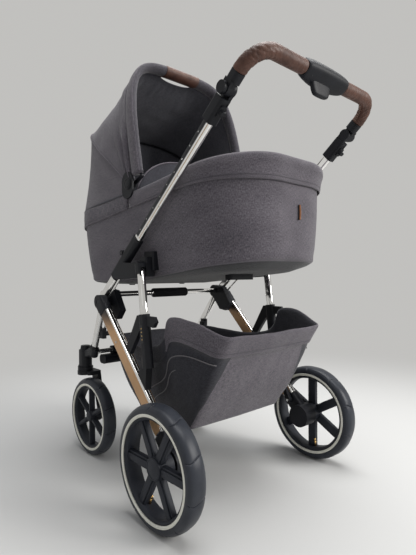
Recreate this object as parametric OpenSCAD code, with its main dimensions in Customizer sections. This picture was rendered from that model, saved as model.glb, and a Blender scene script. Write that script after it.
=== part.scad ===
// Baby stroller: a folding four-wheel frame with a carrycot, canopy and basket.
// Millimetres, +Z up, the front faces -Y, the stroller's left side is +X.

/* [Main tubes] */
// Rise of the main tubes above the horizontal, degrees
rake = 40.4; // [36:0.2:44]
// Centre plane of the main tubes, from the middle of the frame
tube_x = 225; // [224:1:232]
// Width of the oval tube seen from the side
tube_wide = 26; // [22:1:28]
// Thickness of the oval tube across the frame
tube_thick = 16; // [13:1:17]
// Wall of every frame tube
tube_wall = 1.8; // [1.2:0.1:2.5]
// Leg hinge to the bottom end of the lower joint
lower_joint_start = 82; // [78:1:92]
// Leg hinge to the seam where the handle tubes fold
fold_at = 160; // [152:1:168]
// Leg hinge to the top end of the upper joint
upper_joint_end = 231; // [222:1:240]
// Leg hinge to the bottom of the slide collar
collar_start = 589; // [575:1:600]
// Leg hinge to the tilt axis of the handle
tilt_at = 665; // [655:1:680]

/* [Rear legs] */
// Centre plane of the rear legs
leg_x = 244.5; // [244.5:0.5:246]
// Width of the leg seen from the side
leg_wide = 38; // [34:1:42]
// Thickness of the leg
leg_thick = 22; // [19:0.5:22]
// Width of the inlay strip on both faces of the leg
inlay_wide = 26; // [20:1:28]
// Thickness of the inlay strip
inlay_thick = 1; // [0.8:0.1:1.5]

/* [Rear wheels] */
// Outer radius of the rear tyre
rear_r = 138; // [130:1:146]
// Width of the rear tyre
rear_wide = 47; // [40:1:50]
// Centre plane of the rear wheels
rear_wheel_x = 288.5; // [288:0.5:300]
// Radius of the rear axle
rear_axle_r = 6; // [5:0.5:7]

/* [Front wheels] */
// Outer radius of the front tyre
front_r = 118; // [112:1:122]
// Width of the front tyre
front_wide = 39; // [34:1:42]
// Swivel axis to the front axle, along the frame
trail = 49; // [40:1:58]
// Centre plane of the front wheels and their swivels
front_wheel_x = 194; // [188:1:197]
// Radius of the front axle
front_axle_r = 5; // [4:0.5:6]

/* [Handle] */
// Tilt axis to the centre line of the cross part of the handle
handle_reach = 100; // [92:1:112]
// Radius of the handle's corners at the centre line
handle_corner = 58; // [48:1:66]
// Outside diameter of the leather grips
grip_d = 31; // [27:1:34]
// Half length of the console in the middle of the handle
console_half = 76; // [66:1:88]

/* [Carrycot] */
// Half width of the cot under its rim
cot_half = 203; // [192:1:204]
// Length of the cot at its rim
cot_len = 768; // [720:1:780]
// Height of the cot's floor above the ground
cot_floor = 533; // [529:1:537]
// Wall of the moulded tub
cot_wall = 6; // [4:0.5:8]
// Height of the rim band
rim_band = 38; // [30:1:44]
// Canopy crown above the canopy pivot
canopy_rise = 372; // [340:1:374]
// Thickness of the canopy cloth
cloth = 2.4; // [1.6:0.2:3]

/* [Basket] */
// Half width of the basket at its rear corners
basket_half = 178; // [160:1:186]
// Height of the basket's bottom above the ground
basket_bottom = 181; // [177:1:200]

/* [Hidden] */

$fn = 48;
sides = [1, -1];
run = 0.05;
gap = 0.3;
through = 400;

// Places in the side view, as [y, z]
axle_y = 184.8;
hinge_y = axle_y - 350;
hinge_z = 503;
tube_dir = [cos(rake), sin(rake)];
tube_n = [-sin(rake), cos(rake)];
function along(d, off = 0) = [hinge_y, hinge_z] + d * tube_dir + off * tube_n;

// Frame hinge at the front edge of the joint
joint_wide = 34;
joint_thick = 24;
knuckle_r = 7;
knuckle_half = 6;
fold_axis = along(fold_at, joint_wide / 2);
fold_pin_r = 3.5;
leg_pin_r = 6;

// Rear legs run straight from the hinge to the axle
leg_len = norm([350, hinge_z - rear_r]);
leg_drop = atan2(hinge_z - rear_r, 350);
leg_pin_d = 24;
leg_top = leg_pin_d + 10;
leg_end = leg_len - 34;
cap_out = 1.5;
leg_dir = [cos(leg_drop), -sin(leg_drop)];
leg_n = [sin(leg_drop), cos(leg_drop)];
leg_pin = [hinge_y, hinge_z] + leg_pin_d * leg_dir;
leg_outer = leg_x + leg_thick / 2;
hub_in = 217;
hub_r = 32;
hub_out = rear_wheel_x - rear_wide / 2 - 3;

// Struts between the lower joints and the rear legs
strut_x = 241;
strut_thick = 16;
strut_wide = 24;
strut_top = [axle_y - 139, 578];
strut_low = [axle_y - 125, 463];
strut_dir = (strut_low - strut_top) / norm(strut_low - strut_top);
strut_tilt = atan2(strut_dir[0], -strut_dir[1]);
strut_show = norm(strut_low - strut_top);
housing_len = 132;

// Front legs and casters
caster_y = axle_y - 533;
front_axle_y = caster_y + trail;
foot_p = [202, axle_y - 458, 330];
stem_r = 8;
crown_z = front_r * 2 + 6;
crown_h = 12;
lock_z = crown_z + crown_h + 1;
lock_h = 12;
caster_z = lock_z + lock_h + 1;
caster_top = 334;

// Handle
tilt_c = along(tilt_at);
ear_r = 15;
core_r = 11;
button_r = 13;

// Carrycot outline: head end at cot_head, foot end at cot_foot
cot_foot = axle_y + 147;
cot_head = cot_foot - cot_len;
cot_r = 150;
pivot_y = axle_y - 243;
pivot_z = 808;
seam_y = axle_y - 250;
rim_head_z = 757;
function rim_z(y) = rim_head_z + 0.032 * (y - cot_head) + 0.00008 * pow(y - cot_head, 2);
ridge_up = 36;
ridge_len = canopy_rise + 28;
arch_n = 4.2;
front_lean = 11.6;
front_base_y = axle_y - 190;
bow_r = 4;

// Main colours
black = [0.10, 0.10, 0.12];
chrome = [0.85, 0.86, 0.88];
bronze = [0.72, 0.53, 0.35];
cloth_grey = [0.30, 0.29, 0.32];
leather = [0.35, 0.23, 0.18];
rubber = [0.15, 0.16, 0.18];
pale = [0.75, 0.75, 0.76];

// ---------- shared shapes ----------

// An oval of width w along y and thickness t along x
module oval(w, t) {
    square([t, w - t], center = true);
    for (s = sides) translate([0, s * (w - t) / 2]) circle(d = t);
}

// A rectangle w along x and h along y with round corners
module round_rect(w, h, r) {
    square([w, h - 2 * r], center = true);
    square([w - 2 * r, h], center = true);
    for (i = sides, j = sides) translate([i * (w / 2 - r), j * (h / 2 - r)]) circle(r = r);
}

// Local z runs up the main tube from the leg hinge, local y points down and back
module on_tube(side, d) {
    translate([side * tube_x, hinge_y, hinge_z]) rotate([rake - 90, 0, 0]) translate([0, 0, d]) children();
}

// Local z runs down the rear leg from the hinge, local y points down and forward
module on_leg(side, d) {
    translate([side * leg_x, hinge_y, hinge_z]) rotate([-90 - leg_drop, 0, 0]) translate([0, 0, d]) children();
}

// Local z runs down the strut from its top
module on_strut(side, d) {
    translate([side * strut_x, strut_top[0], strut_top[1]]) rotate([strut_tilt, 0, 0])
        translate([0, 0, -d]) children();
}

// A cylinder along x between two x values, about a [y, z] point
module x_rod(x0, x1, at, r) {
    translate([min(x0, x1), at[0], at[1]]) rotate([0, 90, 0]) cylinder(r = r, h = abs(x1 - x0));
}

// A side-view outline given as [y, z] points, extruded between two x values
module x_plate(x0, x1, points) {
    translate([min(x0, x1), 0, 0]) rotate([90, 0, 90]) linear_extrude(abs(x1 - x0)) polygon(points);
}

// Extrudes its child outline from point a to point b, the outline's y kept in the side plane
module between(a, b) {
    v = b - a;
    len = norm(v);
    ez = v / len;
    flat = [1, 0, 0] - ez[0] * ez;
    ex = flat / norm(flat);
    ey = cross(ez, ex);
    multmatrix([
        [ex[0], ey[0], ez[0], a[0]],
        [ex[1], ey[1], ez[1], a[1]],
        [ex[2], ey[2], ez[2], a[2]],
        [0, 0, 0, 1]
    ]) linear_extrude(len) children();
}

// Closed loops of equal length joined into one solid, with a fan over each end
module loft(rings) {
    n = len(rings[0]);
    m = len(rings);
    middle = function(ring) [for (k = [0:2]) [for (p = ring) p[k]] * [for (p = ring) 1] / n];
    points = [for (ring = rings) each ring, middle(rings[0]), middle(rings[m - 1])];
    walls = [for (i = [0:m - 2], j = [0:n - 1]) each [
        [i * n + j, (i + 1) * n + j, (i + 1) * n + (j + 1) % n],
        [i * n + j, (i + 1) * n + (j + 1) % n, i * n + (j + 1) % n]
    ]];
    first = [for (j = [0:n - 1]) [m * n, j, (j + 1) % n]];
    last = [for (j = [0:n - 1]) [m * n + 1, (m - 1) * n + (j + 1) % n, (m - 1) * n + j]];
    polyhedron(points, concat(walls, first, last), convexity = 8);
}

// Closed loops joined in turn, the last one back to the first, so that the middle stays open
module hoop(rings) {
    n = len(rings[0]);
    m = len(rings);
    polyhedron([for (ring = rings) each ring], [for (i = [0:m - 1], j = [0:n - 1]) each [
        [i * n + j, (i + 1) % m * n + j, (i + 1) % m * n + (j + 1) % n],
        [i * n + j, (i + 1) % m * n + (j + 1) % n, i * n + (j + 1) % n]
    ]], convexity = 8);
}

// Plan outline with corners of radius r, half width hw, from y0 to y1
corner_steps = 8;
side_steps = 6;
function corner(x, y, r, start) = [for (i = [0:corner_steps]) let (a = start + i * 90 / corner_steps)
    [x + r * cos(a), y + r * sin(a)]];
function side_line(x, y0, y1) = [for (i = [1:side_steps - 1]) [x, y0 + (y1 - y0) * i / side_steps]];
function foot_corners(hw, y1, r) = concat(corner(hw - r, y1 - r, r, 0), corner(r - hw, y1 - r, r, 90));
function plan(hw, y0, y1, r) = concat(
    foot_corners(hw, y1, r), side_line(-hw, y1 - r, y0 + r),
    corner(r - hw, y0 + r, r, 180), corner(hw - r, y0 + r, r, 270), side_line(hw, y0 + r, y1 - r));
function foot_plan(hw, y0, y1, r) = concat(
    foot_corners(hw, y1, r), side_line(-hw, y1 - r, y0), [[-hw, y0], [hw, y0]], side_line(hw, y0, y1 - r));
function raised(outline, z) = [for (p = outline) [p[0], p[1], z]];
function on_rim(outline, up) = [for (p = outline) [p[0], p[1], rim_z(p[1]) + up]];

// ---------- chassis: tubes, joints and cross parts ----------

module tube_section() {
    difference() {
        oval(tube_wide, tube_thick);
        oval(tube_wide - 2 * tube_wall, tube_thick - 2 * tube_wall);
    }
}

module front_tube(side) {
    top = lower_joint_start + 28;
    hinge_p = [side * tube_x, hinge_y, hinge_z];
    foot = [side * foot_p[0], foot_p[1], foot_p[2]];
    color(chrome) difference() {
        union() {
            on_tube(side, 0) linear_extrude(top) tube_section();
            between(hinge_p, foot) tube_section();
            x_rod(side * (tube_x - tube_thick / 2), side * (tube_x + tube_thick / 2), [hinge_y, hinge_z],
                tube_wide / 2);
        }
        x_rod(side * (tube_x - 20), side * (tube_x + 20), leg_pin, leg_pin_r + run);
        x_rod(0, side * (front_bar_half + run), front_bar_at, front_bar_r + run);
    }
}
module front_tube_left() front_tube(1);
module front_tube_right() front_tube(-1);

// Side view of the plate that holds the strut's seat, as [distance along, offset] pairs
bracket_plan = [[92, -10], [158.5, -joint_wide / 2], [186, -joint_wide / 2 - 26], [214, -62], [212, -84],
    [190, -96], [150, -66], [110, -34]];
seat_wall = 4;
seat_clear = 0.4;

module lower_joint(side) {
    x_in = side * (tube_x - joint_thick / 2);
    x_out = side * (tube_x + joint_thick / 2);
    color(black) difference() {
        union() {
            on_tube(side, lower_joint_start) linear_extrude(fold_at - lower_joint_start - gap / 2)
                oval(joint_wide, joint_thick);
            for (s = sides) x_rod(side * (tube_x + s * (knuckle_half + gap)),
                side * (tube_x + s * joint_thick / 2), fold_axis, knuckle_r);
            x_plate(side * (tube_x + 2), side * (strut_x + 6), [for (p = bracket_plan) along(p[0], p[1])]);
            on_strut(side, 14) linear_extrude(24)
                oval(strut_wide + 2 * seat_wall, strut_thick + 2 * seat_wall);
        }
        on_tube(side, 0) linear_extrude(lower_joint_start + 28 + gap)
            oval(tube_wide + 2 * run, tube_thick + 2 * run);
        x_rod(x_in - side, x_out + side, fold_axis, fold_pin_r);
        x_rod(side * (tube_x - knuckle_half - gap), side * (tube_x + knuckle_half + gap), fold_axis,
            knuckle_r + gap);
        rods(side, rod_r + run);
        // the seat is open downwards and to the rear, the way the strut swings out
        on_strut(side, 100) linear_extrude(100 + seat_clear)
            oval(strut_wide + 2 * seat_clear, strut_thick + 2 * seat_clear);
        on_strut(side, 60) translate([-strut_thick / 2 - seat_clear, 0, 0])
            cube([strut_thick + 2 * seat_clear, 50, 60 + seat_clear]);
    }
}
module lower_joints() for (s = sides) lower_joint(s);

module hinge_pins() {
    color(chrome) for (s = sides) {
        x_rod(s * (tube_x - joint_thick / 2), s * (tube_x + joint_thick / 2), fold_axis, fold_pin_r - run);
        x_rod(s * (block_in + 8), s * (leg_outer + cap_out - 1), leg_pin, leg_pin_r);
    }
}

// Moulded block round the bend of the tube; it carries the leg's pin and the upper crossbar
block_in = tube_x - tube_thick / 2 - 14;
block_out = tube_x + tube_thick / 2 + 0.2;
crossbar_at = [hinge_y + 12, hinge_z + 2];
crossbar_r = 8;
module hinge_blocks() {
    color(black) for (s = sides) difference() {
        union() {
            x_rod(s * block_in, s * (tube_x - tube_thick / 2 + 4), [hinge_y, hinge_z], 21);
            x_plate(s * block_in, s * (tube_x - 4), [
                [hinge_y - 4, hinge_z - 20], [hinge_y + 30, hinge_z - 62], [hinge_y + 58, hinge_z - 66],
                [hinge_y + 80, hinge_z - 40], [hinge_y + 62, hinge_z - 12], [hinge_y + 46, hinge_z + 14],
                [hinge_y + 14, hinge_z + 19]
            ]);
            x_rod(s * block_in, s * block_out, leg_pin, 14);
        }
        on_tube(s, -through) linear_extrude(2 * through) oval(tube_wide + 2 * run, tube_thick + 2 * run);
        front_leg_space(s);
        x_rod(s * (block_in + 8), s * through, leg_pin, leg_pin_r + run);
        x_rod(s * (block_in - 5), s * (block_in + 5), crossbar_at, crossbar_r);
        rods(s, rod_r + run);
    }
}

// The room the sloping front leg takes up
module front_leg_space(side) {
    hinge_p = [side * tube_x, hinge_y, hinge_z];
    foot = [side * foot_p[0], foot_p[1], foot_p[2]];
    between(hinge_p, foot) oval(tube_wide + 2 * run, tube_thick + 2 * run);
    x_rod(side * (tube_x - tube_thick / 2 - run), side * (tube_x + tube_thick / 2 + run), [hinge_y, hinge_z],
        tube_wide / 2 + run);
}

module upper_crossbar() {
    color(chrome) x_rod(-block_in - 5 + run, block_in + 5 - run, crossbar_at, crossbar_r);
}

grip_half = 65;
module crossbar_grip() {
    color(black) difference() {
        x_rod(-grip_half, grip_half, crossbar_at, 14);
        x_rod(-grip_half - 1, grip_half + 1, crossbar_at, crossbar_r + run);
    }
}

front_bar_at = [foot_p[1] + 6, foot_p[2] - 6];
front_bar_r = 7;
front_bar_half = foot_p[0] - 6;
module front_crossbar() {
    color(chrome) x_rod(-front_bar_half, front_bar_half, front_bar_at, front_bar_r);
}

module footrest() {
    color(black) difference() {
        union() {
            translate([0, front_bar_at[0] + 4, front_bar_at[1] - 25]) rotate([0, 90, 0])
                linear_extrude(2 * front_bar_half - 34, center = true) round_rect(28, 38, 12);
            for (s = sides) x_rod(s * 120, s * 146, front_bar_at, front_bar_r + 6);
        }
        x_rod(-through, through, front_bar_at, front_bar_r + run);
    }
}

// Thin rods: one behind each main tube, one behind each front leg
rod_r = 3;
rod_top = along(113, -27);
module rods(side, r) {
    between([side * (tube_x + 4.5), leg_pin[0] + 8, leg_pin[1] + 5], [side * (tube_x + 8), rod_top[0], rod_top[1]])
        circle(r = r);
    between([side * (block_in + 5), hinge_y - 4, hinge_z - 14], [side * (clip_x - 3), clip_y + 5, clip_z + 6])
        circle(r = r);
}
module support_rods() {
    color(chrome) for (s = sides) rods(s, rod_r);
}

// Clips that hold the basket's front corners
clip_x = 203;
clip_y = axle_y - 402;
clip_z = 386;
module basket_lug(side, more) {
    translate([side * (clip_x - 9), clip_y + 6, clip_z]) linear_extrude(12 + 2 * more, center = true)
        round_rect(20 + 2 * more, 22 + 2 * more, 5);
}
module basket_clips() {
    color(black) for (s = sides) difference() {
        union() {
            translate([s * clip_x, clip_y, clip_z]) linear_extrude(30, center = true) round_rect(14, 26, 5);
            basket_lug(s, 0);
        }
        front_leg_space(s);
        rods(s, rod_r + run);
    }
}

// Swivel housing, neck and the socket that holds the foot of the front tube
module caster_housing(side) {
    foot = [side * foot_p[0], foot_p[1], foot_p[2]];
    hinge_p = [side * tube_x, hinge_y, hinge_z];
    up = (hinge_p - foot) / norm(hinge_p - foot);
    color(black) difference() {
        union() {
            translate([side * front_wheel_x, caster_y, caster_z]) linear_extrude(caster_top - caster_z - 14)
                round_rect(36, 44, 16);
            translate([side * front_wheel_x, caster_y, caster_top - 20]) cylinder(r1 = 18, r2 = 14, h = 20);
            between([side * front_wheel_x, caster_y, caster_top - 30], foot - 6 * up) round_rect(22, 26, 8);
            between(foot - 20 * up, foot + 8 * up) oval(tube_wide + 8, tube_thick + 8);
        }
        between(foot - up, foot + 90 * up) oval(tube_wide + 2 * run, tube_thick + 2 * run);
        translate([side * front_wheel_x, caster_y, 0]) cylinder(r = stem_r + run, h = caster_top - 8);
        x_rod(-front_bar_half - run, front_bar_half + run, front_bar_at, front_bar_r + run);
    }
}
module caster_housings() for (s = sides) caster_housing(s);

// Plug-in posts that the carrycot's brackets sit over
adaptor_y = axle_y - 152;
adaptor_wide = 30;
adaptor_z0 = 556;
adaptor_z1 = 606;
adaptor_in = cot_half - 5;
adaptor_out = tube_x + 2 - run;
module cot_adaptors() {
    color(black) for (s = sides) translate([s * (adaptor_in + adaptor_out) / 2, adaptor_y, adaptor_z0])
        linear_extrude(adaptor_z1 - adaptor_z0) round_rect(adaptor_out - adaptor_in, adaptor_wide, 5);
}

// ---------- basket ----------

// One side of the basket, front to rear: [top x, top y, top z, bottom x, bottom y]
basket_side = [
    [184, -398, 386, 150, -286],
    [196, -300, 388, 158, -240],
    [206, -200, 394, 163, -170],
    [210, -108, 410, 166, -110],
    [222, -62, 456, 168, -84],
    [204, 20, 452, 168, -60],
    [basket_half, 103, 430, basket_half - 12, -37]
];
function basket_ring(t, inset) = let (
    half = [for (p = basket_side) [
        p[3] + (p[0] - p[3]) * t - inset,
        axle_y + p[4] + (p[1] - p[4]) * t + (p[1] < -350 ? inset : p[1] > 0 ? -inset : 0),
        basket_bottom + (p[2] - basket_bottom) * t + (t == 0 ? inset : 0)
    ]])
    concat(half, [for (i = [len(half) - 1:-1:0]) [-half[i][0], half[i][1], half[i][2]]]);

module basket() {
    shell = 3;
    levels = [0, 0.35, 0.7, 1];
    color(cloth_grey) difference() {
        loft(concat(
            [for (t = levels) basket_ring(t, 0)],
            [for (i = [len(levels) - 1:-1:0]) basket_ring(levels[i], shell)]
        ));
        for (s = sides) basket_lug(s, 0.15);
    }
}

// ---------- casters and front wheels ----------

module swivel_lock(side) {
    color(black) translate([side * front_wheel_x, caster_y, lock_z]) difference() {
        union() {
            cylinder(r = 24, h = lock_h);
            translate([0, -18, 0]) linear_extrude(lock_h) round_rect(20, 36, 6);
        }
        translate([0, 0, -1]) cylinder(r = stem_r + 1, h = lock_h + 2);
    }
}
module swivel_lock_left() swivel_lock(1);
module swivel_lock_right() swivel_lock(-1);

arm_in = front_wheel_x - front_wide / 2 - 16;
arm_thick = 12;
module fork(side) {
    inner = side * arm_in;
    crown_out = front_wheel_x + 7;
    color(black) {
        translate([side * front_wheel_x, caster_y, crown_z]) cylinder(r = stem_r, h = caster_top - 10 - crown_z);
        translate([side * front_wheel_x, caster_y, crown_z]) cylinder(r = 25, h = crown_h);
        translate([side * (crown_out + arm_in) / 2, caster_y + 10, crown_z]) linear_extrude(crown_h)
            round_rect(crown_out - arm_in, 52, 8);
        x_plate(inner, inner + side * arm_thick, [
            [caster_y - 8, crown_z + crown_h], [caster_y + 34, crown_z + crown_h],
            [front_axle_y + 14, front_r], [front_axle_y - 14, front_r]
        ]);
        x_rod(inner, inner + side * (arm_thick + 2), [front_axle_y, front_r], 16);
        x_rod(inner, side * (front_wheel_x + 9), [front_axle_y, front_r], front_axle_r);
    }
}
module fork_left() fork(1);
module fork_right() fork(-1);

// Tyre section, a low profile with a round crown; local x is the radius, local y the width
crown_steps = 10;
function tyre_outline(r, wide, tall) = concat(
    [for (i = [0:crown_steps]) let (a = -90 + i * 180 / crown_steps)
        [r - tall * 0.75 + tall * 0.75 * pow(max(cos(a), 0), 0.75), wide / 2 * sin(a)]],
    [[r - tall, wide / 2 - 3], [r - tall, 3 - wide / 2]]
);

module tyre(x, y, z, wide, tall) {
    color(rubber) translate([x, y, z]) rotate([0, 90, 0]) rotate_extrude($fn = 96)
        polygon(tyre_outline(z, wide, tall));
}

front_tyre_tall = 21;
rear_tyre_tall = 25;
module front_tyre_left() tyre(front_wheel_x, front_axle_y, front_r, front_wide, front_tyre_tall);
module front_tyre_right() tyre(-front_wheel_x, front_axle_y, front_r, front_wide, front_tyre_tall);
module rear_tyre_left() tyre(rear_wheel_x, axle_y, rear_r, rear_wide, rear_tyre_tall);
module rear_tyre_right() tyre(-rear_wheel_x, axle_y, rear_r, rear_wide, rear_tyre_tall);

// Rim with six box spokes near its outer face; local +z is the outer side
spokes = 6;
module rim(x, y, z, wide, seat_r, axle_r, boss_r, boss_in, spoke_wide, turn) {
    barrel = 9;
    color(black) translate([x, y, z]) rotate([0, sign(x) * 90, 0]) rotate([0, 0, turn]) {
        difference() {
            union() {
                rotate_extrude($fn = 96) translate([seat_r - barrel, 4 - wide / 2]) square([barrel - run, wide - 8]);
                rotate_extrude($fn = 96) translate([seat_r - barrel - 4, wide / 2 - 12]) square([barrel, 7]);
                for (i = [0:spokes - 1]) rotate([0, 0, i * 360 / spokes])
                    translate([boss_r - 6, -spoke_wide / 2, -2])
                        cube([seat_r - barrel - boss_r + 8, spoke_wide, 15]);
                translate([0, 0, -boss_in]) cylinder(r = boss_r, h = boss_in + 13);
            }
            translate([0, 0, -through / 2]) cylinder(r = axle_r + run, h = through / 2 + 9.5);
        }
        translate([0, 0, 13]) cylinder(r1 = boss_r + 3, r2 = boss_r - 3, h = cap_tall);
    }
}

cap_tall = 4;
front_hub_in = front_wide / 2 + 1.5;
rear_hub_in = rear_wide / 2 + 2.5;
module front_rim(side, turn) {
    rim(side * front_wheel_x, front_axle_y, front_r, front_wide, front_r - front_tyre_tall, front_axle_r, 15,
        front_hub_in, 13, turn);
}
module rear_rim(side, turn) {
    rim(side * rear_wheel_x, axle_y, rear_r, rear_wide, rear_r - rear_tyre_tall, rear_axle_r, 22, rear_hub_in, 25,
        turn);
}
module front_rim_left() front_rim(1, 0);
module front_rim_right() front_rim(-1, 30);
module rear_rim_left() rear_rim(1, 0);
module rear_rim_right() rear_rim(-1, 30);

// ---------- rear legs ----------

module rear_leg(side) {
    color(chrome) on_leg(side, leg_top) difference() {
        linear_extrude(leg_end - leg_top) difference() {
            round_rect(leg_thick, leg_wide, 8);
            round_rect(leg_thick - 5, leg_wide - 2 * tube_wall, 6);
            translate([0, -leg_wide / 2]) square([4, 12], center = true);
        }
        for (s = sides) translate([s * leg_thick / 2, 0, through / 2 - 1])
            cube([2 * inlay_thick, inlay_wide + 2 * run, through + 200], center = true);
    }
}
module rear_leg_left() rear_leg(1);
module rear_leg_right() rear_leg(-1);

module leg_inlays() {
    color(bronze) difference() {
        for (side = sides, s = sides) on_leg(side, 50)
            translate([s * (leg_thick / 2 - inlay_thick / 2), 0, 0]) linear_extrude(leg_end - 90)
                square([inlay_thick - run, inlay_wide], center = true);
        for (side = sides, d = rivets) x_rod(side * leg_x, side * through, on_leg_line(d), rivet_r + run);
    }
}

// Rounded cap that carries the top of the leg on the hinge pin
module leg_caps() {
    color(black) for (side = sides) difference() {
        union() {
            x_rod(side * (leg_x - leg_thick / 2), side * (leg_outer + cap_out), leg_pin, 19);
            on_leg(side, leg_pin_d) translate([side * cap_out / 2, 0, 0]) linear_extrude(24)
                round_rect(leg_thick + cap_out - 2 * gap, 42, 6);
        }
        on_leg(side, leg_top - gap) linear_extrude(60) square([leg_thick + 2 * run, leg_wide + 2 * run], center = true);
        x_rod(0, side * through, leg_pin, leg_pin_r + run);
    }
}

// Strut guide with its forward arm, its foot on the rear edge of the leg and the basket's hook
function on_leg_edge(d) = [hinge_y, hinge_z] + d * leg_dir + (leg_wide / 2 + gap) * leg_n;
module strut_housing(side) {
    color(black) difference() {
        union() {
            on_strut(side, strut_show + housing_len) linear_extrude(housing_len)
                oval(strut_wide + 8, strut_thick + 6);
            x_plate(side * (strut_x - 6), side * (strut_x + 6), [
                on_leg_edge(198), on_leg_edge(220), strut_low + [-4, -30], strut_low + [-4, -2],
                strut_low + [-24, -4]
            ]);
            x_plate(side * (strut_x - 9), side * (strut_x + 9), [
                on_leg_edge(284), on_leg_edge(328), strut_low + [20, -130], strut_low + [16, -100],
                strut_low + [4, -92]
            ]);
            x_plate(side * (strut_x - 5), side * (strut_x + 5), [
                strut_low + [6, -4], strut_low + [6, -26], strut_low + [44, -30], strut_low + [54, -16],
                strut_low + [46, -4]
            ]);
        }
        on_strut(side, strut_show + housing_len - 12) linear_extrude(strut_show + housing_len)
            oval(strut_wide + 2 * run, strut_thick + 2 * run);
    }
}
module strut_housings() for (s = sides) strut_housing(s);

strut_len = strut_show + 100;
module strut(side) {
    color(chrome) on_strut(side, strut_len) linear_extrude(strut_len) oval(strut_wide, strut_thick);
}
module strut_left() strut(1);
module strut_right() strut(-1);

// Brake housing at the foot of the leg, with the leg's socket
module rear_hubs() {
    color(black) for (side = sides) difference() {
        union() {
            x_rod(side * hub_in, side * hub_out, [axle_y, rear_r], hub_r);
            on_leg(side, leg_end - 34) linear_extrude(64) round_rect(leg_thick + 6, leg_wide + 6, 9);
        }
        on_leg(side, leg_end - 60) linear_extrude(60 + gap) round_rect(leg_thick + 2 * run, leg_wide + 2 * run, 8 + run);
        x_rod(side * (hub_in + 6), side * through, [axle_y, rear_r], rear_axle_r);
        x_rod(0, side * leg_x, pedal_at, pedal_pin_r);
    }
}

// Wheel axles, the rivets of the inlay strips and the pin of the brake pedal
rivets = [60, 166];
rivet_r = 3;
function on_leg_line(d) = [hinge_y, hinge_z] + d * leg_dir;
module rear_pins() {
    color(chrome) {
        for (side = sides) {
            x_rod(side * (hub_in + 6 + run), side * (rear_wheel_x + 8), [axle_y, rear_r], rear_axle_r - run);
            for (d = rivets) x_rod(side * (leg_outer - inlay_thick), side * (leg_outer + 1.2), on_leg_line(d), rivet_r);
        }
        x_rod(-pedal_in + 1.5, -leg_x + leg_thick / 2 + 0.5, pedal_at, pedal_pin_r - run);
    }
}

// Foot lever of the brake, on the right leg, hinged in front of the hub
pedal_at = on_leg_line(leg_end - 22);
pedal_pin_r = 4;
pedal_in = hub_in;
pedal_out = leg_x - leg_thick / 2 - 3.5;
module brake_pedal() {
    color(black) difference() {
        union() {
            x_rod(-pedal_in, -pedal_out, pedal_at, 9);
            x_plate(-pedal_in, -pedal_out, [
                pedal_at + [-8, -2], pedal_at + [7, 5], pedal_at + [-8, 34], pedal_at + [-32, 54],
                pedal_at + [-40, 48], pedal_at + [-18, 26]
            ]);
        }
        x_rod(-pedal_in + 1, -pedal_out - 1, pedal_at, pedal_pin_r + run);
    }
}

// ---------- handle tubes ----------

module upper_tube(side) {
    color(chrome) on_tube(side, fold_at + 36) linear_extrude(collar_start + 30 - fold_at - 36) tube_section();
}
module upper_tube_left() upper_tube(1);
module upper_tube_right() upper_tube(-1);

module upper_joints() {
    color(black) for (side = sides) difference() {
        union() {
            on_tube(side, fold_at + gap / 2) linear_extrude(upper_joint_end - fold_at) oval(joint_wide, joint_thick);
            x_rod(side * (tube_x - knuckle_half), side * (tube_x + knuckle_half), fold_axis, knuckle_r);
        }
        on_tube(side, fold_at + 36 - gap) linear_extrude(through) oval(tube_wide + 2 * run, tube_thick + 2 * run);
        for (s = sides) x_rod(side * (tube_x + s * (knuckle_half + run)), side * (tube_x + s * 20), fold_axis,
            knuckle_r + gap);
        x_rod(side * (tube_x - 20), side * (tube_x + 20), fold_axis, fold_pin_r);
    }
}

// Slide collar with the inner ear and pin of the tilt joint
collar_end = tilt_at - ear_r - 2;
ear_split = tube_x - 3;
ear_wide = 2 * ear_r - 4;
module collars() {
    color(black) for (side = sides) difference() {
        union() {
            on_tube(side, collar_start) linear_extrude(collar_end - collar_start) round_rect(28, 32, 8);
            x_rod(side * (tube_x - 12), side * ear_split, tilt_c, ear_r);
            on_tube(side, collar_end - 1) translate([-side * 7.5, 0, 0]) linear_extrude(ear_r)
                square([9 - 2 * gap, ear_wide], center = true);
            x_rod(side * ear_split, side * (ear_split + 11), tilt_c, 5);
        }
        on_tube(side, 0) linear_extrude(collar_start + 30 + gap) oval(tube_wide + 2 * run, tube_thick + 2 * run);
        on_tube(side, slider_d) translate([0, 16 - slider_sink / 2 + 0.5, slider_travel / 2])
            cube([16 + 2 * gap, slider_sink + 1, 24 + slider_travel + 2 * gap], center = true);
    }
}

// Fold release: a finger slide let into the rear face of each collar
slider_d = collar_start + 34;
slider_sink = 2;
slider_travel = 6;
module fold_slider(side) {
    color(black) on_tube(side, slider_d) translate([0, 16 - slider_sink + run, 0]) rotate([-90, 0, 0]) union() {
        linear_extrude(slider_sink + 4) round_rect(16, 24, 5);
        linear_extrude(slider_sink + 12) round_rect(14, 10, 4);
    }
}
module fold_slider_left() fold_slider(1);
module fold_slider_right() fold_slider(-1);

// Half of the handle as a bent rod; local z runs up the tube from the tilt axis
end_len = 40;
module handle_path(r, x_from, z_from) {
    straight = handle_reach - handle_corner;
    translate([0, 0, z_from]) cylinder(r = r, h = straight - z_from);
    translate([-handle_corner, 0, straight]) rotate([90, 0, 0]) rotate_extrude(angle = 90)
        translate([handle_corner, 0]) circle(r = r);
    translate([x_from - tube_x, 0, handle_reach]) rotate([0, 90, 0])
        cylinder(r = r, h = tube_x - handle_corner - x_from);
}

module on_handle(side) {
    translate([side * tube_x, tilt_c[0], tilt_c[1]]) rotate([rake - 90, 0, 0])
        mirror([side < 0 ? 1 : 0, 0, 0]) children();
}

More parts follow.
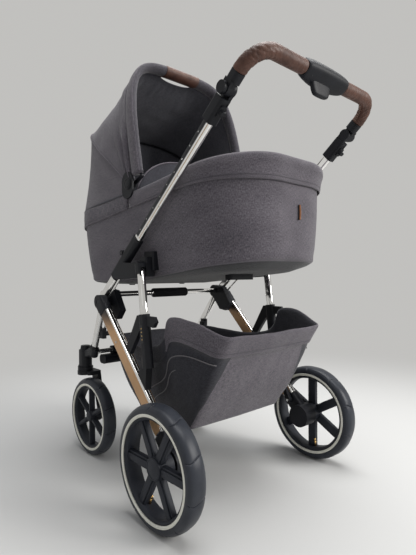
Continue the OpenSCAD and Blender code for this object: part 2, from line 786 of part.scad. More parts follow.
// Bent core with a black end and an outer ear on each side
ear_thick = 16;
module handlebar() {
    color(black) for (side = sides) on_handle(side) difference() {
        union() {
            handle_path(core_r, -1, ear_r + 4);
            translate([0, 0, ear_r + 2]) linear_extrude(end_len - ear_r - 2 - gap) round_rect(26, 30, 10);
            translate([gap - 3, 0, 0]) rotate([0, 90, 0]) cylinder(r = ear_r, h = ear_thick - gap);
            translate([gap - 3, -ear_wide / 2, 0]) cube([ear_thick - gap, ear_wide, ear_r + 4]);
        }
        translate([-10, 0, 0]) rotate([0, 90, 0]) cylinder(r = 5 + run, h = 19);
        translate([ear_thick - 3 - button_sink, 0, 0]) rotate([0, 90, 0]) cylinder(r = button_r + 0.2, h = 20);
    }
}

module grip(side) {
    color(leather) on_handle(side) difference() {
        handle_path(grip_d / 2, console_half + gap, end_len);
        handle_path(core_r + run, -1, 0);
    }
}
module grip_left() grip(1);
module grip_right() grip(-1);

// Round push buttons of the tilt joint, sunk in the outer ears
button_sink = 4;
button_travel = 3;
module tilt_button(side) {
    color(black) on_handle(side) translate([ear_thick - 3 - button_sink + button_travel, 0, 0]) rotate([0, 90, 0])
        cylinder(r = button_r, h = 10);
}
module tilt_button_left() tilt_button(1);
module tilt_button_right() tilt_button(-1);

console_wide = 46;
console_deep = 36;
bar_y = tilt_c[0] + handle_reach * tube_dir[0];
bar_z = tilt_c[1] + handle_reach * tube_dir[1];
module console() {
    color(black) difference() {
        translate([0, bar_y, bar_z]) rotate([rake - 90, 0, 0]) rotate([0, 90, 0]) translate([0, 3, 0])
            linear_extrude(2 * console_half, center = true) oval(console_wide, console_deep);
        translate([0, bar_y, bar_z]) rotate([0, 90, 0]) cylinder(r = core_r + run, h = through, center = true);
        translate([lever_x - lever_len / 2 - gap, lever_y - lever_deep / 2 - gap, lever_low])
            cube([lever_len + 2 * gap, lever_deep + 2 * gap, lever_tall + lever_travel + gap]);
    }
}

// Squeeze lever under the console
lever_x = 12;
lever_len = 70;
lever_deep = 14;
lever_tall = 28;
lever_travel = 4;
lever_y = bar_y - 2;
lever_low = bar_z - core_r - 36;
module console_lever() {
    color(black) translate([lever_x, lever_y, lever_low]) linear_extrude(lever_tall)
        round_rect(lever_len, lever_deep, 6);
}

// ---------- carrycot ----------

// Outline of the tub at the floor, at the side edge and under the rim; all rise towards the foot end
floor_inset = 60;
function lift(ring, z, start, tall, power) = [for (p = ring)
    [p[0], p[1], z + tall * pow(max(0, (p[1] - start) / (cot_foot - start)), power)]];
inner_rise = 40;
module cot_tub() {
    w = cot_wall;
    low = cot_floor;
    color(cloth_grey) loft([
        lift(plan(cot_half - floor_inset, cot_head + 66, cot_foot - 64, 100), low, axle_y - 330, 43, 1),
        lift(plan(cot_half - 24, cot_head + 42, cot_foot - 22, 134), low + 5, axle_y - 300, 52, 1.15),
        lift(plan(cot_half - 13, cot_head + 26, cot_foot - 3, cot_r), low + 14, axle_y - 250, 51, 1.1),
        on_rim(plan(cot_half, cot_head, cot_foot, cot_r), 0),
        on_rim(plan(cot_half - w, cot_head + w, cot_foot - w, cot_r - w), 0),
        lift(plan(cot_half - 14 - w, cot_head + 27 + w, cot_foot - 4 - w, cot_r - w), low + 22, axle_y - 250, 51, 1.1),
        lift(plan(cot_half - 40, cot_head + 66, cot_foot - 126, 104), low + 8, cot_head, inner_rise, 1)
    ]);
}

// Band round the rim: its height grows towards both ends of the cot
band_off = 0.6;
band_thick = 3;
function band(y) = y < seam_y ? rim_band + 16 * (seam_y - y) / (seam_y - cot_head)
    : rim_band + 18 * pow(min(1, (y - seam_y) / (cot_foot - seam_y)), 3);
function under_rim(outline) = [for (p = outline) [p[0], p[1], rim_z(p[1]) - band(p[1])]];
module cot_rim() {
    o = band_off;
    t = band_off + band_thick;
    out = plan(cot_half + t, cot_head - t, cot_foot + t, cot_r + t);
    inn = plan(cot_half + o, cot_head - o, cot_foot + o, cot_r + o);
    color(cloth_grey) intersection() {
        hoop([under_rim(inn), under_rim(out), on_rim(out, 2), on_rim(inn, 2)]);
        translate([-through, seam_y - 1000 - gap, 0]) cube([2 * through, 1000, 1200]);
    }
}

// Brackets that drop over the frame's posts, a bar and two feet under the floor
// The floor's middle stands this much above the line between its ends
floor_bulge = 3.6;
under_bar_y = axle_y - 30;
side_lean = 3.2;
side_in = 11.9;
module cot_fittings() {
    x_in = cot_half - 14;
    x_out = adaptor_in + 12;
    color(black) {
        for (s = sides) difference() {
            translate([s * (x_in + x_out) / 2, adaptor_y, adaptor_z0 + 16])
                linear_extrude(adaptor_z1 - adaptor_z0 - 2) round_rect(x_out - x_in, 42, 5);
            translate([s * (cot_half - side_in), adaptor_y, adaptor_z0 + 16]) rotate([0, s * side_lean, 0])
                translate([-s * 20, 0, 0]) cube([40, 60, 200], center = true);
            translate([s * (adaptor_in + 30 - gap), adaptor_y, adaptor_z1 - 50 + gap])
                cube([60, adaptor_wide + 2 * gap, 100], center = true);
        }
        difference() {
            translate([0, under_bar_y, cot_floor + 13]) linear_extrude(24) round_rect(90, 26, 8);
            translate([0, 0, floor_bulge / 2]) cot_floor_space();
        }
        for (s = sides) translate([s * 100, axle_y - 400, cot_floor - 4]) cylinder(r = 9, h = 4 + floor_bulge);
    }
}

// The sloping underside of the tub near its middle
module cot_floor_space() {
    x_plate(-60, 60, [
        [axle_y - 330, cot_floor], [axle_y + 83, cot_floor + 43 * 413 / 477], [axle_y + 83, cot_floor + 100],
        [axle_y - 330, cot_floor + 100]
    ]);
}

module mattress() {
    color(pale) loft([for (ring = [[66, 92, 152, 0], [52, 76, 138, 14], [58, 82, 144, 28]])
        lift(plan(cot_half - ring[0], cot_head + ring[1], cot_foot - ring[2], 90), cot_floor + 8 + gap + ring[3],
            cot_head, inner_rise, 1)]);
}

// Cover over the foot half: a skirt round the rim, a flat top and a raised wind flap
flap_y = axle_y - 226;
flap_half = [[-188, 785], [-150, 850], [-112, 884], [-70, 892]];
module apron() {
    o = band_off;
    t = band_off + band_thick + 1;
    lid = function(inset, up)
        on_rim(foot_plan(cot_half + 1 - inset, seam_y + gap, cot_foot + 6 - inset, cot_r - inset), up);
    color(cloth_grey) {
        loft([lid(0, 1), lid(0, 4), lid(40, 8), lid(100, 9)]);
        intersection() {
            hoop([
                under_rim(plan(cot_half + o, cot_head - o, cot_foot + o, cot_r + o)),
                under_rim(plan(cot_half + t, cot_head - t, cot_foot + t + 4, cot_r + t)),
                on_rim(plan(cot_half + t, cot_head - t, cot_foot + t + 14, cot_r + t), -14),
                on_rim(plan(cot_half + t, cot_head - t, cot_foot + t + 12, cot_r + t), 2),
                on_rim(plan(cot_half, cot_head, cot_foot + 4, cot_r), 4),
                on_rim(plan(cot_half + o, cot_head - o, cot_foot + o, cot_r + o), 0.6)
            ]);
            translate([-through, seam_y + gap, 0]) cube([2 * through, 1000, 1200]);
        }
        translate([0, flap_y, 0]) rotate([90, 0, 0]) linear_extrude(3)
            polygon(concat(flap_half, [for (i = [3:-1:0]) [-flap_half[i][0], flap_half[i][1]]]));
    }
}

// Sewn-in tag standing out of the foot end
module tag_label() {
    color(black) translate([-16, cot_foot + 4.7, 690]) linear_extrude(36) square([1.6, 12], center = true);
}

// ---------- canopy ----------

// The canopy's sides stand this far outside the cot's
arch_out = 4;
arch_half = cot_half + arch_out;
function arch_c(a) = sign(cos(a)) * pow(abs(cos(a)), 2 / arch_n);
function arch_s(a) = pow(abs(sin(a)), 2 / arch_n);
arch_steps = 32;
arch_start = 14;
function front_arch(off) = [for (i = [0:arch_steps]) let (
        a = i * 180 / arch_steps,
        z = pivot_z + arch_start + (canopy_rise - arch_start - off) * arch_s(a))
    [(arch_half - off) * arch_c(a), front_base_y - (z - pivot_z) * tan(front_lean), z]];
function ridge_arch(off) = [for (i = [0:arch_steps]) let (
        a = i * 180 / arch_steps,
        l = arch_start + (ridge_len - arch_start - off) * arch_s(a))
    [(arch_half - off) * arch_c(a), pivot_y - l * cos(ridge_up), pivot_z + l * sin(ridge_up)]];
function rim_arch(off) = [for (i = [0:arch_steps]) let (
        a = i * 180 / arch_steps,
        y = pivot_y - 10 - (pivot_y - 10 - cot_head + 4 - off) * arch_s(a))
    [(arch_half - off) * arch_c(a), y, rim_z(y) + 6]];

// Cloth between two edge lines; each edge has an outer and an inner line
module panel(a_out, b_out, b_in, a_in) {
    loft([for (i = [0:len(a_out) - 1]) [a_in[i], b_in[i], b_out[i], a_out[i]]]);
}

// A round bow along a line of points; flat is the direction across the bow's plane
module bow(line, r, flat) {
    n = len(line);
    loft([for (i = [0:n - 1]) let (
            t = line[min(i + 1, n - 1)] - line[max(i - 1, 0)],
            e1 = cross(t, flat) / norm(cross(t, flat)))
        [for (k = [0:5]) line[i] + r * (cos(k * 60) * flat + sin(k * 60) * e1)]]);
}

bow_in = cloth + bow_r + 3 * gap;
bow_x = arch_half - bow_in;
front_bow_in = bow_in + 3.5;
module canopy_front_panel() {
    color(cloth_grey) difference() {
        panel(front_arch(0), ridge_arch(0), ridge_arch(cloth), front_arch(cloth));
        translate([0, front_base_y - (canopy_rise) * tan(front_lean), pivot_z + canopy_rise])
            cube([132, 44, 60], center = true);
    }
}

module canopy_rear_panel() {
    color(cloth_grey) translate([0, -0.4, -0.4])
        panel(ridge_arch(0), rim_arch(0), rim_arch(cloth), ridge_arch(cloth));
}

module ridge_bow() {
    first = ridge_arch(bow_in)[0];
    color(black) {
        bow(ridge_arch(bow_in), bow_r, [0, sin(ridge_up), cos(ridge_up)]);
        for (s = sides) difference() {
            union() {
                x_rod(s * (bow_x - 3), s * (bow_x + 1), [pivot_y, pivot_z], 9);
                between([s * (bow_x - 1), pivot_y, pivot_z], [s * (bow_x - 1), first[1], first[2]])
                    square([4 - 2 * gap, 10], center = true);
                x_rod(s * (bow_x - 3.6), s * (bow_x + 3), [first[1], first[2]], bow_r + 2);
            }
            x_rod(s * (bow_x - 10), s * (bow_x + 10), [pivot_y, pivot_z], pivot_pin_r + run);
        }
    }
}

module front_bow() {
    base = front_arch(front_bow_in)[0] + [0, bow_back, 0];
    color(black) {
        translate([0, bow_back, 0]) bow(front_arch(front_bow_in), bow_r, [0, cos(front_lean), sin(front_lean)]);
        for (s = sides) difference() {
            union() {
                x_rod(s * (bow_x - 8), s * (bow_x - 4), [pivot_y, pivot_z], 9);
                between([s * (bow_x - 6), pivot_y, pivot_z], [s * (bow_x - 6), base[1], base[2] + 3])
                    square([4 - 2 * gap, 10], center = true);
                x_rod(s * (bow_x - 8), s * bow_x, [base[1], base[2] + 3], bow_r);
            }
            x_rod(s * (bow_x - 10), s * (bow_x + 10), [pivot_y, pivot_z], pivot_pin_r + run);
        }
    }
}

// Round pivot covers outside the cot, with the pins of both bows
pivot_pin_r = 4;
bow_back = -6;
pivot_in = cot_half + band_off + band_thick + 1 + gap;
pivot_thick = 4.6;
pivot_out = pivot_in + pivot_thick;
pivot_wide = 72;
pivot_tall = 52;
pivot_round = 24;
module canopy_pivots() {
    color(black) for (s = sides) {
        translate([s * (pivot_in + pivot_out) / 2, pivot_y - 4, pivot_z - 4]) rotate([0, 90, 0])
            linear_extrude(pivot_out - pivot_in, center = true) round_rect(pivot_wide, pivot_tall, pivot_round);
        x_rod(s * (cot_half + 1), s * pivot_out, [pivot_y, pivot_z], 8);
        x_rod(s * (bow_x - 10), s * pivot_out, [pivot_y, pivot_z], pivot_pin_r);
    }
}

front_tube_left();
front_tube_right();
lower_joints();
hinge_pins();
hinge_blocks();
upper_crossbar();
crossbar_grip();
front_crossbar();
footrest();
caster_housings();
cot_adaptors();
basket();
swivel_lock_left();
swivel_lock_right();
fork_left();
fork_right();
front_tyre_left();
front_tyre_right();
front_rim_left();
front_rim_right();
support_rods();
basket_clips();
rear_leg_left();
rear_leg_right();
leg_inlays();
leg_caps();
strut_housings();
rear_hubs();
rear_pins();
brake_pedal();
strut_left();
strut_right();
rear_tyre_left();
rear_tyre_right();
rear_rim_left();
rear_rim_right();
upper_tube_left();
upper_tube_right();
upper_joints();
collars();
fold_slider_left();
fold_slider_right();
handlebar();
grip_left();
grip_right();
console();
console_lever();
tilt_button_left();
tilt_button_right();
cot_tub();
cot_rim();
cot_fittings();
mattress();
apron();
tag_label();
canopy_pivots();
canopy_rear_panel();
ridge_bow();
front_bow();
canopy_front_panel();
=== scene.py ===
# A folding baby stroller: chromed frame, carrycot with canopy and apron, basket, four wheels.
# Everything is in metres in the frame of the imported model, +Z up, the front faces -Y.
import functools
import math

import bmesh
import bpy
from mathutils import Matrix, Vector, noise


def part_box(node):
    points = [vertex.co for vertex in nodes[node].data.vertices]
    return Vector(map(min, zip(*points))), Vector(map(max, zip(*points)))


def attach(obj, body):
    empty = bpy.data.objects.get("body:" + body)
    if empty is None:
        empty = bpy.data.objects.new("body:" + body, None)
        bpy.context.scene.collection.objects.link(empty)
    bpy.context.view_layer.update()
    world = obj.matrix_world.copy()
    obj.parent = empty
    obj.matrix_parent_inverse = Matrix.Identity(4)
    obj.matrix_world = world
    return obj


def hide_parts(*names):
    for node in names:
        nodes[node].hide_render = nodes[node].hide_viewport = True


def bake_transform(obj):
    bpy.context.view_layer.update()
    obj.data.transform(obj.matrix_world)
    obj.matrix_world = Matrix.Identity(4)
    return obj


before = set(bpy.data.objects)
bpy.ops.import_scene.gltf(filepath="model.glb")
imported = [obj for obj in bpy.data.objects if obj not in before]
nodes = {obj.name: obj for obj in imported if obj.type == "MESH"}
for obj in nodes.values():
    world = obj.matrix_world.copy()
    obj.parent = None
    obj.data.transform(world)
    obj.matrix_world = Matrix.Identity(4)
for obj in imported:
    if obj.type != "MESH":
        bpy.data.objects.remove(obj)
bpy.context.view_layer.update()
scene = bpy.context.scene

# ---- Camera -----------------------------------------------------------------------------------
# A level camera at hip height behind the stroller's left side, with a fairly wide lens.
camera_data = bpy.data.cameras.new("camera")
camera_data.sensor_fit = "VERTICAL"
camera_data.sensor_height = 36.0
camera_data.lens = 28.511
camera_data.clip_start = 0.05
camera = bpy.data.objects.new("camera", camera_data)
scene.collection.objects.link(camera)
camera.matrix_world = (
    Matrix.Translation((0.8539, 0.9708, 0.5603))
    @ Matrix.Rotation(math.radians(137.782), 4, "Z")
    @ Matrix.Rotation(math.radians(89.616), 4, "X")
    @ Matrix.Rotation(math.radians(-0.293), 4, "Z")
)
scene.camera = camera
scene.view_settings.view_transform = "Standard"

# ---- Floor, backdrop and light ----------------------------------------------------------------
# A pale studio floor that fades into a plain light grey wall, lit by a soft overhead panel, a
# large warm panel on the camera's right, a weak cool one on its left and an even sky.
WALL_GREY = (0.535, 0.53, 0.515)
FLOOR_GREY = (0.60, 0.60, 0.59)


def new_material(name):
    material = bpy.data.materials.new(name)
    material.use_nodes = True
    tree = material.node_tree
    tree.nodes.clear()
    output = tree.nodes.new("ShaderNodeOutputMaterial")
    return material, tree, output


def add(tree, kind, **values):
    """A new node; values name its properties, or its inputs where they are given as in_NAME."""
    node = tree.nodes.new(kind)
    for key, value in values.items():
        if key.startswith("in_"):
            node.inputs[key[3:].replace("_", " ")].default_value = value
        else:
            setattr(node, key, value)
    return node


def wire(tree, *pairs):
    """Links pairs of an output and an input."""
    for source, target in pairs:
        tree.links.new(source, target)


def mapped(tree, value, low, high, to_low=0.0, to_high=1.0, **values):
    """A value mapped from the range low to high to another range."""
    node = add(tree, "ShaderNodeMapRange", in_From_Min=low, in_From_Max=high,
               in_To_Min=to_low, in_To_Max=to_high, **values)
    wire(tree, (value, node.inputs["Value"]))
    return node.outputs[0]


floor_material, tree, output = new_material("studio_floor")
place = add(tree, "ShaderNodeTexCoord")
flat = add(tree, "ShaderNodeVectorMath", operation="MULTIPLY")
flat.inputs[1].default_value = (1, 1, 0)
reach = add(tree, "ShaderNodeVectorMath", operation="LENGTH")
fade = mapped(tree, reach.outputs["Value"], 0.75, 2.3, interpolation_type="SMOOTHSTEP")
matte = add(tree, "ShaderNodeBsdfDiffuse", in_Color=(*FLOOR_GREY, 1))
glow = add(tree, "ShaderNodeEmission", in_Color=(*WALL_GREY, 1))
mix = add(tree, "ShaderNodeMixShader")
wire(
    tree, (place.outputs["Object"], flat.inputs[0]), (flat.outputs[0], reach.inputs[0]),
    (fade, mix.inputs[0]), (matte.outputs[0], mix.inputs[1]), (glow.outputs[0], mix.inputs[2]),
    (mix.outputs[0], output.inputs[0]),
)

bm = bmesh.new()
bmesh.ops.create_grid(bm, x_segments=1, y_segments=1, size=14.0)
floor_mesh = bpy.data.meshes.new("studio_floor")
bm.to_mesh(floor_mesh)
bm.free()
floor = bpy.data.objects.new("studio_floor", floor_mesh)
floor_mesh.materials.append(floor_material)
scene.collection.objects.link(floor)

world = bpy.data.worlds.new("studio")
world.use_nodes = True
scene.world = world
tree = world.node_tree
tree.nodes.clear()
output = tree.nodes.new("ShaderNodeOutputWorld")
path = add(tree, "ShaderNodeLightPath")
seen = add(tree, "ShaderNodeMath", operation="MAXIMUM")
wall = add(tree, "ShaderNodeBackground", in_Color=(*WALL_GREY, 1), in_Strength=1.0)
sky = add(tree, "ShaderNodeBackground", in_Color=(0.97, 0.98, 1.0, 1), in_Strength=0.36)
mix = add(tree, "ShaderNodeMixShader")
wire(
    tree, (path.outputs["Is Camera Ray"], seen.inputs[0]), (path.outputs["Is Glossy Ray"], seen.inputs[1]),
    (seen.outputs[0], mix.inputs[0]), (sky.outputs[0], mix.inputs[1]), (wall.outputs[0], mix.inputs[2]),
    (mix.outputs[0], output.inputs[0]),
)


def panel_light(name, place, target, size, power, colour=(1, 1, 1)):
    data = bpy.data.lights.new(name, "AREA")
    data.shape = "RECTANGLE"
    data.size, data.size_y = size
    data.energy = power
    data.color = colour
    lamp = bpy.data.objects.new(name, data)
    scene.collection.objects.link(lamp)
    aim = Vector(target) - Vector(place)
    lamp.matrix_world = Matrix.Translation(place) @ aim.to_track_quat("-Z", "Y").to_matrix().to_4x4()


panel_light("overhead", (-0.3, 0.3, 3.0), (0, 0, 0.6), (2.4, 2.0), 84)
panel_light("key_right", (-1.5, 2.7, 1.7), (0, 0, 0.55), (1.3, 1.7), 75, (1.0, 0.985, 0.96))
panel_light("fill_left", (2.7, -0.7, 1.6), (0, 0, 0.6), (1.8, 1.6), 1.5, (0.96, 0.98, 1.0))

# ---- Chromed tubes ----------------------------------------------------------------------------
# Extruded aluminium tube, polished and chrome plated: main tubes, legs, struts and cross rods.
# The plating is slightly uneven and carries faint haze and wiping marks. The pins are plain or
# blackened steel.


def ramp(tree, value, stops, colours):
    """A two-stop colour ramp on a value."""
    node = add(tree, "ShaderNodeValToRGB")
    for element, stop, colour in zip(node.color_ramp.elements, stops, colours):
        element.position = stop
        element.color = (*colour, 1)
    wire(tree, (value, node.inputs[0]))
    return node.outputs[0]


def shade(tree, shader, output, tone, stops, colours, height, relief, gloss):
    """Wires a shader up: colour and gloss follow a tone, and the relief follows a height."""
    bump = add(tree, "ShaderNodeBump", in_Strength=relief[0], in_Distance=relief[1])
    wire(
        tree, (ramp(tree, tone, stops, colours), shader.inputs["Base Color"]),
        (height, bump.inputs["Height"]), (bump.outputs[0], shader.inputs["Normal"]),
        (shader.outputs[0], output.inputs[0]),
    )
    if gloss:
        wire(tree, (mapped(tree, tone, *gloss), shader.inputs["Roughness"]))


def metal(name, base, tint, roughness, streak=(1, 1, 1), metallic=1.0):
    """Plated or anodised metal; streak stretches the wiping marks along an axis."""
    material, tree, output = new_material(name)
    shader = add(tree, "ShaderNodeBsdfPrincipled", in_Metallic=metallic)
    place = add(tree, "ShaderNodeTexCoord")
    stretch = add(tree, "ShaderNodeMapping", in_Scale=streak)
    haze = add(tree, "ShaderNodeTexNoise", in_Scale=38, in_Detail=4)
    fine = add(tree, "ShaderNodeTexNoise", in_Scale=260, in_Detail=2)
    wire(
        tree, (place.outputs["Object"], stretch.inputs["Vector"]),
        (stretch.outputs[0], haze.inputs["Vector"]), (stretch.outputs[0], fine.inputs["Vector"]),
    )
    shade(tree, shader, output, haze.outputs["Fac"], (0.35, 0.7), (base, tint),
          fine.outputs["Fac"], (0.004, 0.0001), (0.3, 0.75, *roughness))
    return material


chrome = metal("polished_chrome", (0.86, 0.85, 0.83), (0.78, 0.77, 0.75), (0.06, 0.14))


def dress(names, material, edge=0.0):
    """Gives solids their material, rounds their sharp edges and shades their round faces smooth."""
    for name in names:
        piece = nodes[name]
        piece.data.polygons.foreach_set("use_smooth", [True] * len(piece.data.polygons))
        weld = piece.modifiers.new("weld", "WELD")
        weld.merge_threshold = 0.00002
        if edge:
            bevel = piece.modifiers.new("edge", "BEVEL")
            bevel.width = edge
            bevel.segments = 2
            bevel.limit_method = "ANGLE"
            bevel.angle_limit = math.radians(40)
            bevel.use_clamp_overlap = True
        else:
            flats = piece.modifiers.new("flats", "DECIMATE")
            flats.decimate_type = "DISSOLVE"
            flats.angle_limit = math.radians(0.4)
        normals = piece.modifiers.new("shade", "WEIGHTED_NORMAL")
        normals.keep_sharp = False
        normals.weight = 60
        piece.data.materials.clear()
        piece.data.materials.append(material)


dress(
    [
        "front_tube_left", "front_tube_right", "upper_tube_left", "upper_tube_right",
        "rear_leg_left", "rear_leg_right", "strut_left", "strut_right", "upper_crossbar",
        "front_crossbar", "support_rods",
    ],
    chrome,
)
steel = metal("plain_steel", (0.62, 0.62, 0.62), (0.5, 0.5, 0.5), (0.2, 0.34))
dress(["rear_pins"], steel, 0.0004)
black_steel = metal("black_steel", (0.06, 0.06, 0.065), (0.045, 0.045, 0.05), (0.35, 0.5))
dress(["hinge_pins"], black_steel, 0.0004)

# ---- Bronze inlays ----------------------------------------------------------------------------
# Thin strips of bronze anodised aluminium, brushed lengthwise. Each lies pressed into a groove on
# one face of a rear leg, two strips to a leg.
bronze = metal("brushed_bronze", (0.60, 0.37, 0.20), (0.50, 0.30, 0.155), (0.34, 0.46), (1.0, 0.25, 0.25), 0.6)
dress(["leg_inlays"], bronze, 0.0002)

# ---- Moulded black parts ----------------------------------------------------------------------
# Glass-filled nylon mouldings with a fine spark-eroded grain: joints, blocks, housings, forks,
# footrest, adaptors, brackets, collars and levers.


def new_group(name, inputs, outputs):
    """A node group with a Vector input and further number inputs and outputs."""
    group = bpy.data.node_groups.new(name, "ShaderNodeTree")
    group.interface.new_socket("Vector", in_out="INPUT", socket_type="NodeSocketVector")
    for way, labels in (("INPUT", inputs), ("OUTPUT", outputs)):
        for label in labels:
            group.interface.new_socket(label, in_out=way, socket_type="NodeSocketFloat")
    return group, add(group, "NodeGroupInput").outputs, add(group, "NodeGroupOutput").inputs


def grain_group():
    """Fine moulded grain with broad faint mottling, as values between 0 and 1."""
    group, entry, leave = new_group("moulded_grain", ["Scale"], ["Height", "Mottle"])
    fine = add(group, "ShaderNodeTexVoronoi")
    broad = add(group, "ShaderNodeTexNoise", in_Scale=22, in_Detail=5)
    wire(
        group, (entry["Vector"], fine.inputs["Vector"]), (entry["Scale"], fine.inputs["Scale"]),
        (entry["Vector"], broad.inputs["Vector"]), (fine.outputs["Distance"], leave["Height"]),
        (broad.outputs["Fac"], leave["Mottle"]),
    )
    return group


GRAIN = grain_group()


def patterned(name, pattern, tone, stops, colours, relief, gloss=None, on="Object", **shading):
    """A material from a pattern: one output sets its colour and gloss, and Height its relief."""
    material, tree, output = new_material(name)
    shader = add(tree, "ShaderNodeBsdfPrincipled", **shading)
    place = add(tree, "ShaderNodeTexCoord")
    look = add(tree, "ShaderNodeGroup", **pattern)
    wire(tree, (place.outputs[on], look.inputs["Vector"]))
    shade(tree, shader, output, look.outputs[tone], stops, colours, look.outputs["Height"], relief, gloss)
    return material


def moulded(name, dark, light, scale, depth, roughness):
    return patterned(
        name, {"node_tree": GRAIN, "in_Scale": scale}, "Mottle", (0.3, 0.7), (dark, light),
        (depth, 0.0003), (0, 1, *roughness), in_Specular_IOR_Level=0.24,
    )


nylon = moulded("black_nylon", (0.006, 0.0065, 0.009), (0.011, 0.012, 0.016), 1500, 0.10, (0.40, 0.58))
dress(
    [
        "lower_joints", "hinge_blocks", "footrest", "caster_housings", "cot_adaptors", "basket_clips",
        "swivel_lock_left", "swivel_lock_right", "fork_left", "fork_right", "strut_housings",
        "rear_hubs", "brake_pedal", "upper_joints", "collars", "fold_slider_left",
        "fold_slider_right", "handlebar", "console", "console_lever", "tilt_button_left",
        "tilt_button_right", "cot_fittings", "canopy_pivots", "ridge_bow", "front_bow", "leg_caps",
    ],
    nylon, 0.0012,
)
foam = moulded("foam_sleeve", (0.012, 0.012, 0.014), (0.02, 0.02, 0.023), 700, 0.6, (0.8, 0.95))
dress(["crossbar_grip"], foam, 0.002)
rubber = moulded("tyre_rubber", (0.023, 0.026, 0.034), (0.041, 0.045, 0.055), 900, 0.12, (0.28, 0.42))

# ---- Tyres ------------------------------------------------------------------------------------
# Foam-filled rubber tyres with a smooth bulging tread, cut by shallow slightly crooked grooves
# at even steps and by a fine line on each shoulder. A cream ring is let into both walls.


def shell_grid(columns, rows, place, close_columns=True):
    """A grid bent into a shell: place(u, v) puts each point, u and v run from 0 to 1."""
    bm = bmesh.new()
    bm.loops.layers.uv.new("flat")
    bmesh.ops.create_grid(bm, x_segments=columns, y_segments=rows, size=0.5, calc_uvs=True)
    spots = {v: place(v.co.x + 0.5, v.co.y + 0.5) for v in bm.verts}
    for vert, spot in spots.items():
        vert.co = spot
    if close_columns:
        bmesh.ops.remove_doubles(bm, verts=bm.verts, dist=0.00002)
    return bm


def close_ends(bm):
    """Fills every open end of a shell."""
    bmesh.ops.holes_fill(bm, edges=[e for e in bm.edges if e.is_boundary], sides=0)


def zone_faces(bm, rule):
    """Gives each face a material number from its place on the flat pattern, from 0 to 1."""
    layer = bm.loops.layers.uv.verify()
    for face in bm.faces:
        middle = sum((loop[layer].uv for loop in face.loops), Vector((0, 0))) / len(face.loops)
        face.material_index = rule(middle.x, middle.y)


def scale_uv(bm, wide, tall):
    """Sets the flat pattern to its real size in metres."""
    layer = bm.loops.layers.uv.verify()
    for face in bm.faces:
        for loop in face.loops:
            loop[layer].uv = (loop[layer].uv.x * wide, loop[layer].uv.y * tall)


def into_scene(bm, name, material, body=None, replaced=(), slot=None, smooth=True):
    """Makes a piece of a bmesh: normals outwards, its materials and its body; slot is not used."""
    bmesh.ops.recalc_face_normals(bm, faces=bm.faces)
    mesh = bpy.data.meshes.new(name)
    bm.to_mesh(mesh)
    bm.free()
    mesh.polygons.foreach_set("use_smooth", [smooth] * len(mesh.polygons))
    for finish in material if isinstance(material, list) else [material]:
        mesh.materials.append(finish)
    piece = bpy.data.objects.new(name, mesh)
    scene.collection.objects.link(piece)
    if body:
        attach(piece, body)
    if replaced:
        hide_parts(*replaced)
    return piece


def sharpen(piece, degrees):
    """Keeps the edges crisp that are folded by more than this angle."""
    piece.data.set_sharp_from_angle(angle=math.radians(degrees))
    return piece


SIDES = ((1, "left"), (-1, "right"))
# kind, side, outward sign, centre, tyre radius and width, rim radius, cream ring radius, spoke
# width, hub radius and the turn of its spokes
WHEELS = [
    (kind, label, side, (side * x, y, radius), radius, wide, seat, ring_r, spoke, hub, 0 if side > 0 else 30)
    for kind, x, y, radius, wide, seat, ring_r, spoke, hub in (
        ("rear", 0.2885, 0.1848, 0.138, 0.047, 0.113, 0.1183, 0.025, 0.025),
        ("front", 0.194, -0.2992, 0.118, 0.039, 0.097, 0.1012, 0.013, 0.016),
    )
    for side, label in SIDES
]
GROOVES = 10
groove_deep = 0.0026
groove_wide = 0.012
groove_start = 96
bead_share = 0.12
side_wall = 0.22
shoulder_lines = (0.255, 0.745)


def tyre_profile(v, radius, wide, seat):
    """Point (radius, width offset) round the tyre's section, v from one bead to the other."""
    half = wide / 2
    wall_top = seat + (radius - seat) * side_wall
    edge = min(v, 1 - v)
    if edge < bead_share:
        share = edge / bead_share
        offset = half - 0.0035 + 0.0035 * share
        return seat - 0.001 + share * (wall_top - seat), offset if v < 0.5 else -offset
    angle = math.pi * (v - bead_share) / (1 - 2 * bead_share)
    across = math.cos(angle)
    return (wall_top + (radius - wall_top) * math.sin(angle) ** 0.62,
            half * math.copysign(abs(across) ** 0.8, across))


def grooved_tyre(outer, centre, radius, wide, seat, phase):
    """A tyre's skin; its grooves stand at even steps and lie a little crooked."""
    def place(u, v):
        reach, offset = tyre_profile(v, radius, wide, seat)
        tread = math.sin(math.pi * min(max((v - 0.15) / 0.7, 0), 1))
        slant = 0.16 * (v - 0.5) + 0.045 * math.sin(math.pi * 4 * v)
        block = math.floor(u * GROOVES + 0.001)
        cell = min(max(u * GROOVES - block, 0.0), 1.0)
        cell -= 0.135 * math.sin(2 * math.pi * cell)
        turn = (block + cell + slant) / GROOVES * 2 * math.pi + math.radians(phase + groove_start)
        groove = math.exp(-((min(cell, 1 - cell) / groove_wide) ** 2)) if tread > 0 else 0
        swell = 0.0017 * (1 - (2 * cell - 1) ** 2) * tread
        shoulder = sum(math.exp(-(((v - line) / 0.012) ** 2)) for line in shoulder_lines)
        reach += swell * 0.6 - groove_deep * groove * min(1, tread * 2.2) - 0.0007 * shoulder - 0.0006 * tread
        return Vector(centre) + Vector((outer * offset, reach * math.cos(turn), reach * math.sin(turn)))

    return shell_grid(GROOVES * 26, 44, place)


for kind, side, outer, centre, radius, wide, seat, *_, phase in WHEELS:
    bm = grooved_tyre(outer, centre, radius, wide, seat, phase)
    into_scene(bm, f"{kind}_tyre_grooved_{side}", rubber, f"{kind}_wheel_{side}", [f"{kind}_tyre_{side}"],
               "tyre_rubber")

# Cream rings: a flat band moulded nearly flush into each wall of a tyre.
cream = moulded("cream_ring", (0.70, 0.69, 0.61), (0.80, 0.79, 0.71), 500, 0.1, (0.55, 0.65))


